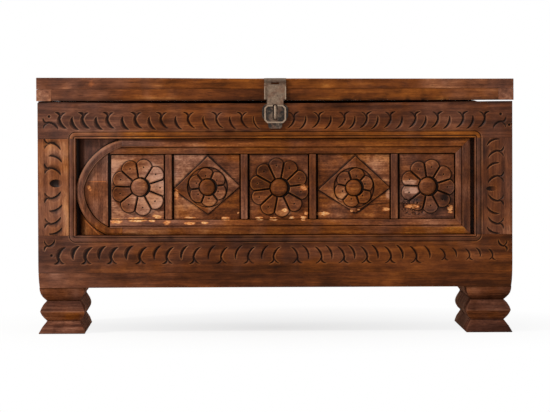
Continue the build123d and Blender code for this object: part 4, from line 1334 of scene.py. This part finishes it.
def wood(name, lift=0.0, speckled=0.12, shiny=1.0):
    """Old oiled hardwood: a colour ramp driven by tone and fibre streaks, warmed by the amber field and
    greyed by the dull one, which also holds painted glare. It is darkened by grime, which holds painted shade
    as well as dirt, and in the pores, and lightened by wear, which holds a painted highlight as well, and at
    fresh chips."""
    s = Shader(bpy.data.materials.new(name))
    grain = s.vector("grain")
    streak = s.cloud(s.stretched(grain, (5.0, 95.0, 95.0)), 1.0, 4.0, 0.6, 0.4)
    fibre = s.cloud(s.stretched(grain, (26.0, 620.0, 620.0)), 1.0, 2.0, 0.6)
    patch = s.cloud(s.stretched(grain, (9.0, 30.0, 30.0)), 1.0, 4.0, 0.62, 0.6)
    level = s.math("MULTIPLY_ADD", s.math("SUBTRACT", streak, 0.5), 0.7, 0.46 + lift)
    level = s.math("MULTIPLY_ADD", s.math("SUBTRACT", fibre, 0.5), 0.4, level)
    level = s.math("MULTIPLY_ADD", s.math("SUBTRACT", patch, 0.5), 0.75, level)
    speck = s.cloud(s.stretched(grain, (170.0, 420.0, 420.0)), 1.0, 3.0, 0.65)
    level = s.math("MULTIPLY_ADD", s.math("SUBTRACT", speck, 0.5), 2.0 * speckled, level)
    level = s.math("ADD", level, s.value("tone"), clamp=True)
    warm_colour, amber_colour, grey_colour = (
        s.ramp(level, [(stop, tint(*colour)) for stop, colour in zip((0.0, 0.3, 0.5, 0.72, 1.0), colours)])
        for colours in (warm_stops, amber_stops, grey_stops)
    )
    colour = s.mix(s.value("amber"), warm_colour, amber_colour)
    colour = s.mix(s.value("dull"), colour, grey_colour)
    pore = s.cloud(s.stretched(grain, (40.0, 900.0, 900.0)), 1.0, 1.0)
    pore = s.math("MULTIPLY", s.math("LESS_THAN", pore, 0.36), 0.5)
    colour = s.mix(pore, colour, tint(34, 16, 9))
    # Wear and painted highlight, mixed toward pale wood.
    worn = s.math("MULTIPLY", s.value("wear"), 0.75)
    colour = s.mix(worn, colour, s.mix(s.value("dull"), tint(152, 90, 42), tint(160, 114, 90)))
    # Dirt and painted shade, mixed toward near-black brown.
    grime = s.value("grime")
    thick = s.math("MULTIPLY", s.math("MAXIMUM", s.math("SUBTRACT", grime, 0.6), 0.0), 0.5)
    colour = s.mix(s.math("MULTIPLY_ADD", grime, 0.9, thick, clamp=True), colour, tint(25, 10, 4))
    fresh = s.value("fresh")
    flake = s.ramp(speck, ((0.38, tint(190, 116, 52)), (0.6, tint(232, 186, 132))))
    chip = s.math("MULTIPLY", fresh, s.math("MULTIPLY_ADD", speck, 1.9, 0.45), clamp=True)
    colour = s.mix(chip, colour, s.mix(fresh, tint(214, 108, 36), flake))
    shine = s.math("MULTIPLY_ADD", patch, 0.22, 0.42)
    height = s.math("MULTIPLY_ADD", streak, 0.5, s.math("MULTIPLY", fibre, 0.5))
    gloss = s.math("MULTIPLY_ADD", s.value("dull"), 0.12 * shiny, 0.07 * shiny) if shiny else 0.0
    return s.surface(colour, shine, height, 0.0007, **{"Specular IOR Level": gloss})


# In metres: the foot of the hasp's knuckles, the top of its plate, half its brighter middle, which the
# painted shade at the plate's sides leaves out.
knuckle_low, plate_high, bright_half = 0.5785, 0.5285, 0.009


def iron(name, base, pale, rust, proud=None):
    """Old iron: mottled grey-brown with rust in patches. proud is the distance in front of y = 0, in metres,
    past which the metal is rubbed pale. Behind it the hasp's plate is dark and blotched, darkest to either
    side of its middle, which is painted shade in its dish, and its knuckles are darker."""
    s = Shader(bpy.data.materials.new(name))
    place = s.add("ShaderNodeTexCoord").outputs["Object"]
    mottle = s.cloud(place, 160.0, 5.0, 0.62)
    spots = s.cloud(place, 420.0, 3.0, 0.6)
    colour = s.ramp(mottle, ((0.3, base), (0.7, pale)))
    patch = s.ramp(s.cloud(place, 75.0, 4.0, 0.6), ((0.45, (0, 0, 0, 1)), (0.65, (1, 1, 1, 1))))
    colour = s.mix(s.math("MULTIPLY", patch, 0.7), colour, rust)
    if proud:
        x, y, z = s.add("ShaderNodeSeparateXYZ", {0: place}).outputs
        away = s.math("SUBTRACT", -proud, y)
        below = s.math("MULTIPLY", s.math("SUBTRACT", knuckle_low, z), 900.0, clamp=True)
        rubbed = s.math("MULTIPLY", s.math("MULTIPLY", away, 1200.0, clamp=True), below)
        bare = s.math("MULTIPLY", rubbed, s.math("MULTIPLY_ADD", spots, 2.2, -0.5, clamp=True))
        colour = s.mix(bare, colour, tint(164, 142, 120))
        low = s.math("MULTIPLY", s.math("SUBTRACT", plate_high, z), 300.0, clamp=True)
        sunk = s.math("MULTIPLY", s.math("SUBTRACT", 1.0, rubbed), low)
        blot = s.ramp(s.cloud(place, 130.0, 4.0, 0.7), ((0.42, (1, 1, 1, 1)), (0.56, (0.1, 0.1, 0.1, 1))))
        # Painted shade to either side of the plate's middle.
        beside = s.math("SUBTRACT", s.math("ABSOLUTE", x), bright_half)
        edge = s.math("MULTIPLY", beside, 110.0, clamp=True)
        dark = s.math("MULTIPLY_ADD", edge, 0.5, s.math("MULTIPLY_ADD", blot, 0.75, 0.2), clamp=True)
        colour = s.mix(s.math("MULTIPLY", sunk, dark), colour, tint(28, 19, 12))
        knuckle = s.math("SUBTRACT", 1.0, below)
        colour = s.mix(s.math("MULTIPLY", knuckle, 0.45), colour, tint(60, 48, 38))
    height = s.math("MULTIPLY_ADD", mottle, 0.7, s.math("MULTIPLY", spots, 0.3))
    return s.surface(colour, s.math("MULTIPLY_ADD", spots, 0.3, 0.42), height, 0.0006, Metallic=0.35)


woods = {
    "carved_wood": wood("carved_wood", speckled=0.3),
    "foot_wood": wood("foot_wood", speckled=0.2, shiny=0.0),
    "inner_wood": wood("inner_wood", lift=0.1),
    "lid_wood": wood("lid_wood"),
    "frame_wood": wood("frame_wood"),
}
irons = {
    "dark_iron": iron("dark_iron", tint(52, 44, 40), tint(92, 80, 72), tint(96, 54, 34)),
    "worn_iron": iron("worn_iron", tint(84, 64, 50), tint(146, 122, 100), tint(106, 64, 40), proud=0.2061),
}


slots = (
    ("dark_iron", ("body_screws", "lid_screws", "hinge_")),
    ("worn_iron", ("hasp_", "staple")),
    ("inner_wood", ("lid_batten_", "floor_", "back_", "panel_backboard")),
    ("carved_wood", ("tile_", "muntin_", "panel_", "arch_infill")),
    ("foot_wood", ("foot_",)),
    ("lid_wood", ("lid_",)),
    ("frame_wood", ("front_", "side_")),
)


def slot_of(node):
    """The record's material slot of a CAD node, by the start of its name."""
    return next(slot for slot, starts in slots if node.startswith(starts))


def body_of(node):
    """The CAD body that holds a node."""
    for body, members in frame["record"]["behaviour"]["bodies"].items():
        if node in members:
            return body
    raise KeyError(node)


for node, obj in pieces.items():
    name = slot_of(node)
    obj.data.materials.append(woods[name])
    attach(obj, body_of(node))
    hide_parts(node)
for node, obj in frame["nodes"].items():
    if node not in pieces:
        obj.data.materials.clear()
        obj.data.materials.append(irons[slot_of(node)])


# ------------------------------------------------------------------ floor, light and camera

floor_half = 90
camera_place = (-0.1116, -7.7631, 0.5337)
camera_angles = (0.838, 1.819, -0.171)
camera_lens = 214.95
key_place = Vector((-4.9, -3.7, 4.6))
key_target = Vector((0, 0, 0.3))
key_size, key_power, key_colour = 1.2, 440, (1.0, 0.98, 0.95)

scene = bpy.context.scene
floor_data = bpy.data.meshes.new("floor")
floor_corners = [(x * floor_half, y * floor_half, 0) for x, y in ((-1, -1), (1, -1), (1, 1), (-1, 1))]
floor_data.from_pydata(floor_corners, [], [(0, 1, 2, 3)])
floor = bpy.data.objects.new("floor", floor_data)
scene.collection.objects.link(floor)
s = Shader(bpy.data.materials.new("floor"))
seen = s.add("ShaderNodeLightPath").outputs["Is Camera Ray"]
place = s.add("ShaderNodeTexCoord").outputs["Object"]
far = s.add("ShaderNodeVectorMath", {0: place}, operation="LENGTH").outputs["Value"]
fade = s.math("MULTIPLY_ADD", far, 0.3, 0.74, clamp=True)
matt = s.add("ShaderNodeBsdfDiffuse", {"Color": (0.9, 0.9, 0.9, 1)}).outputs[0]
white = s.add("ShaderNodeEmission", {"Color": (1, 1, 1, 1), "Strength": 1.0}).outputs[0]
both = s.add("ShaderNodeMixShader", {0: s.math("MULTIPLY", seen, fade), 1: matt, 2: white}).outputs[0]
s.add("ShaderNodeOutputMaterial", {"Surface": both})
floor_data.materials.append(s.owner)

# The world is white to camera, glossy and transmission rays, and a plain grey as light.
scene.world = bpy.data.worlds.new("studio")
s = Shader(scene.world)
rays = s.add("ShaderNodeLightPath").outputs
white_rays = s.math("MAXIMUM", rays["Is Camera Ray"], rays["Is Glossy Ray"])
white_rays = s.math("MAXIMUM", white_rays, rays["Is Transmission Ray"])
sky = s.mix(white_rays, (0.45, 0.44, 0.43, 1), (1, 1, 1, 1))
background = s.add("ShaderNodeBackground", {"Color": sky}).outputs[0]
s.add("ShaderNodeOutputWorld", {"Surface": background})

key_data = bpy.data.lights.new("key", "AREA")
key_data.shape = "SQUARE"
key_data.size = key_size
key_data.energy = key_power
key_data.color = key_colour
key = bpy.data.objects.new("key", key_data)
key.location = key_place
key.rotation_euler = (key_target - key_place).to_track_quat("-Z", "Y").to_euler()
scene.collection.objects.link(key)

camera_data = bpy.data.cameras.new("camera")
camera_data.lens = camera_lens
camera_data.clip_end = 400
camera = bpy.data.objects.new("camera", camera_data)
scene.collection.objects.link(camera)
yaw, pitch, roll = (math.radians(a) for a in camera_angles)
ahead = Vector((math.sin(yaw) * math.cos(pitch), math.cos(yaw) * math.cos(pitch), -math.sin(pitch)))
right = Vector((math.cos(yaw), -math.sin(yaw), 0))
up = right.cross(ahead)
right, up = right * math.cos(roll) + up * math.sin(roll), up * math.cos(roll) - right * math.sin(roll)
turned = Matrix((right, up, -ahead)).transposed().to_4x4()
camera.matrix_world = Matrix.Translation(camera_place) @ turned
scene.camera = camera
scene.view_settings.view_transform = "Standard"
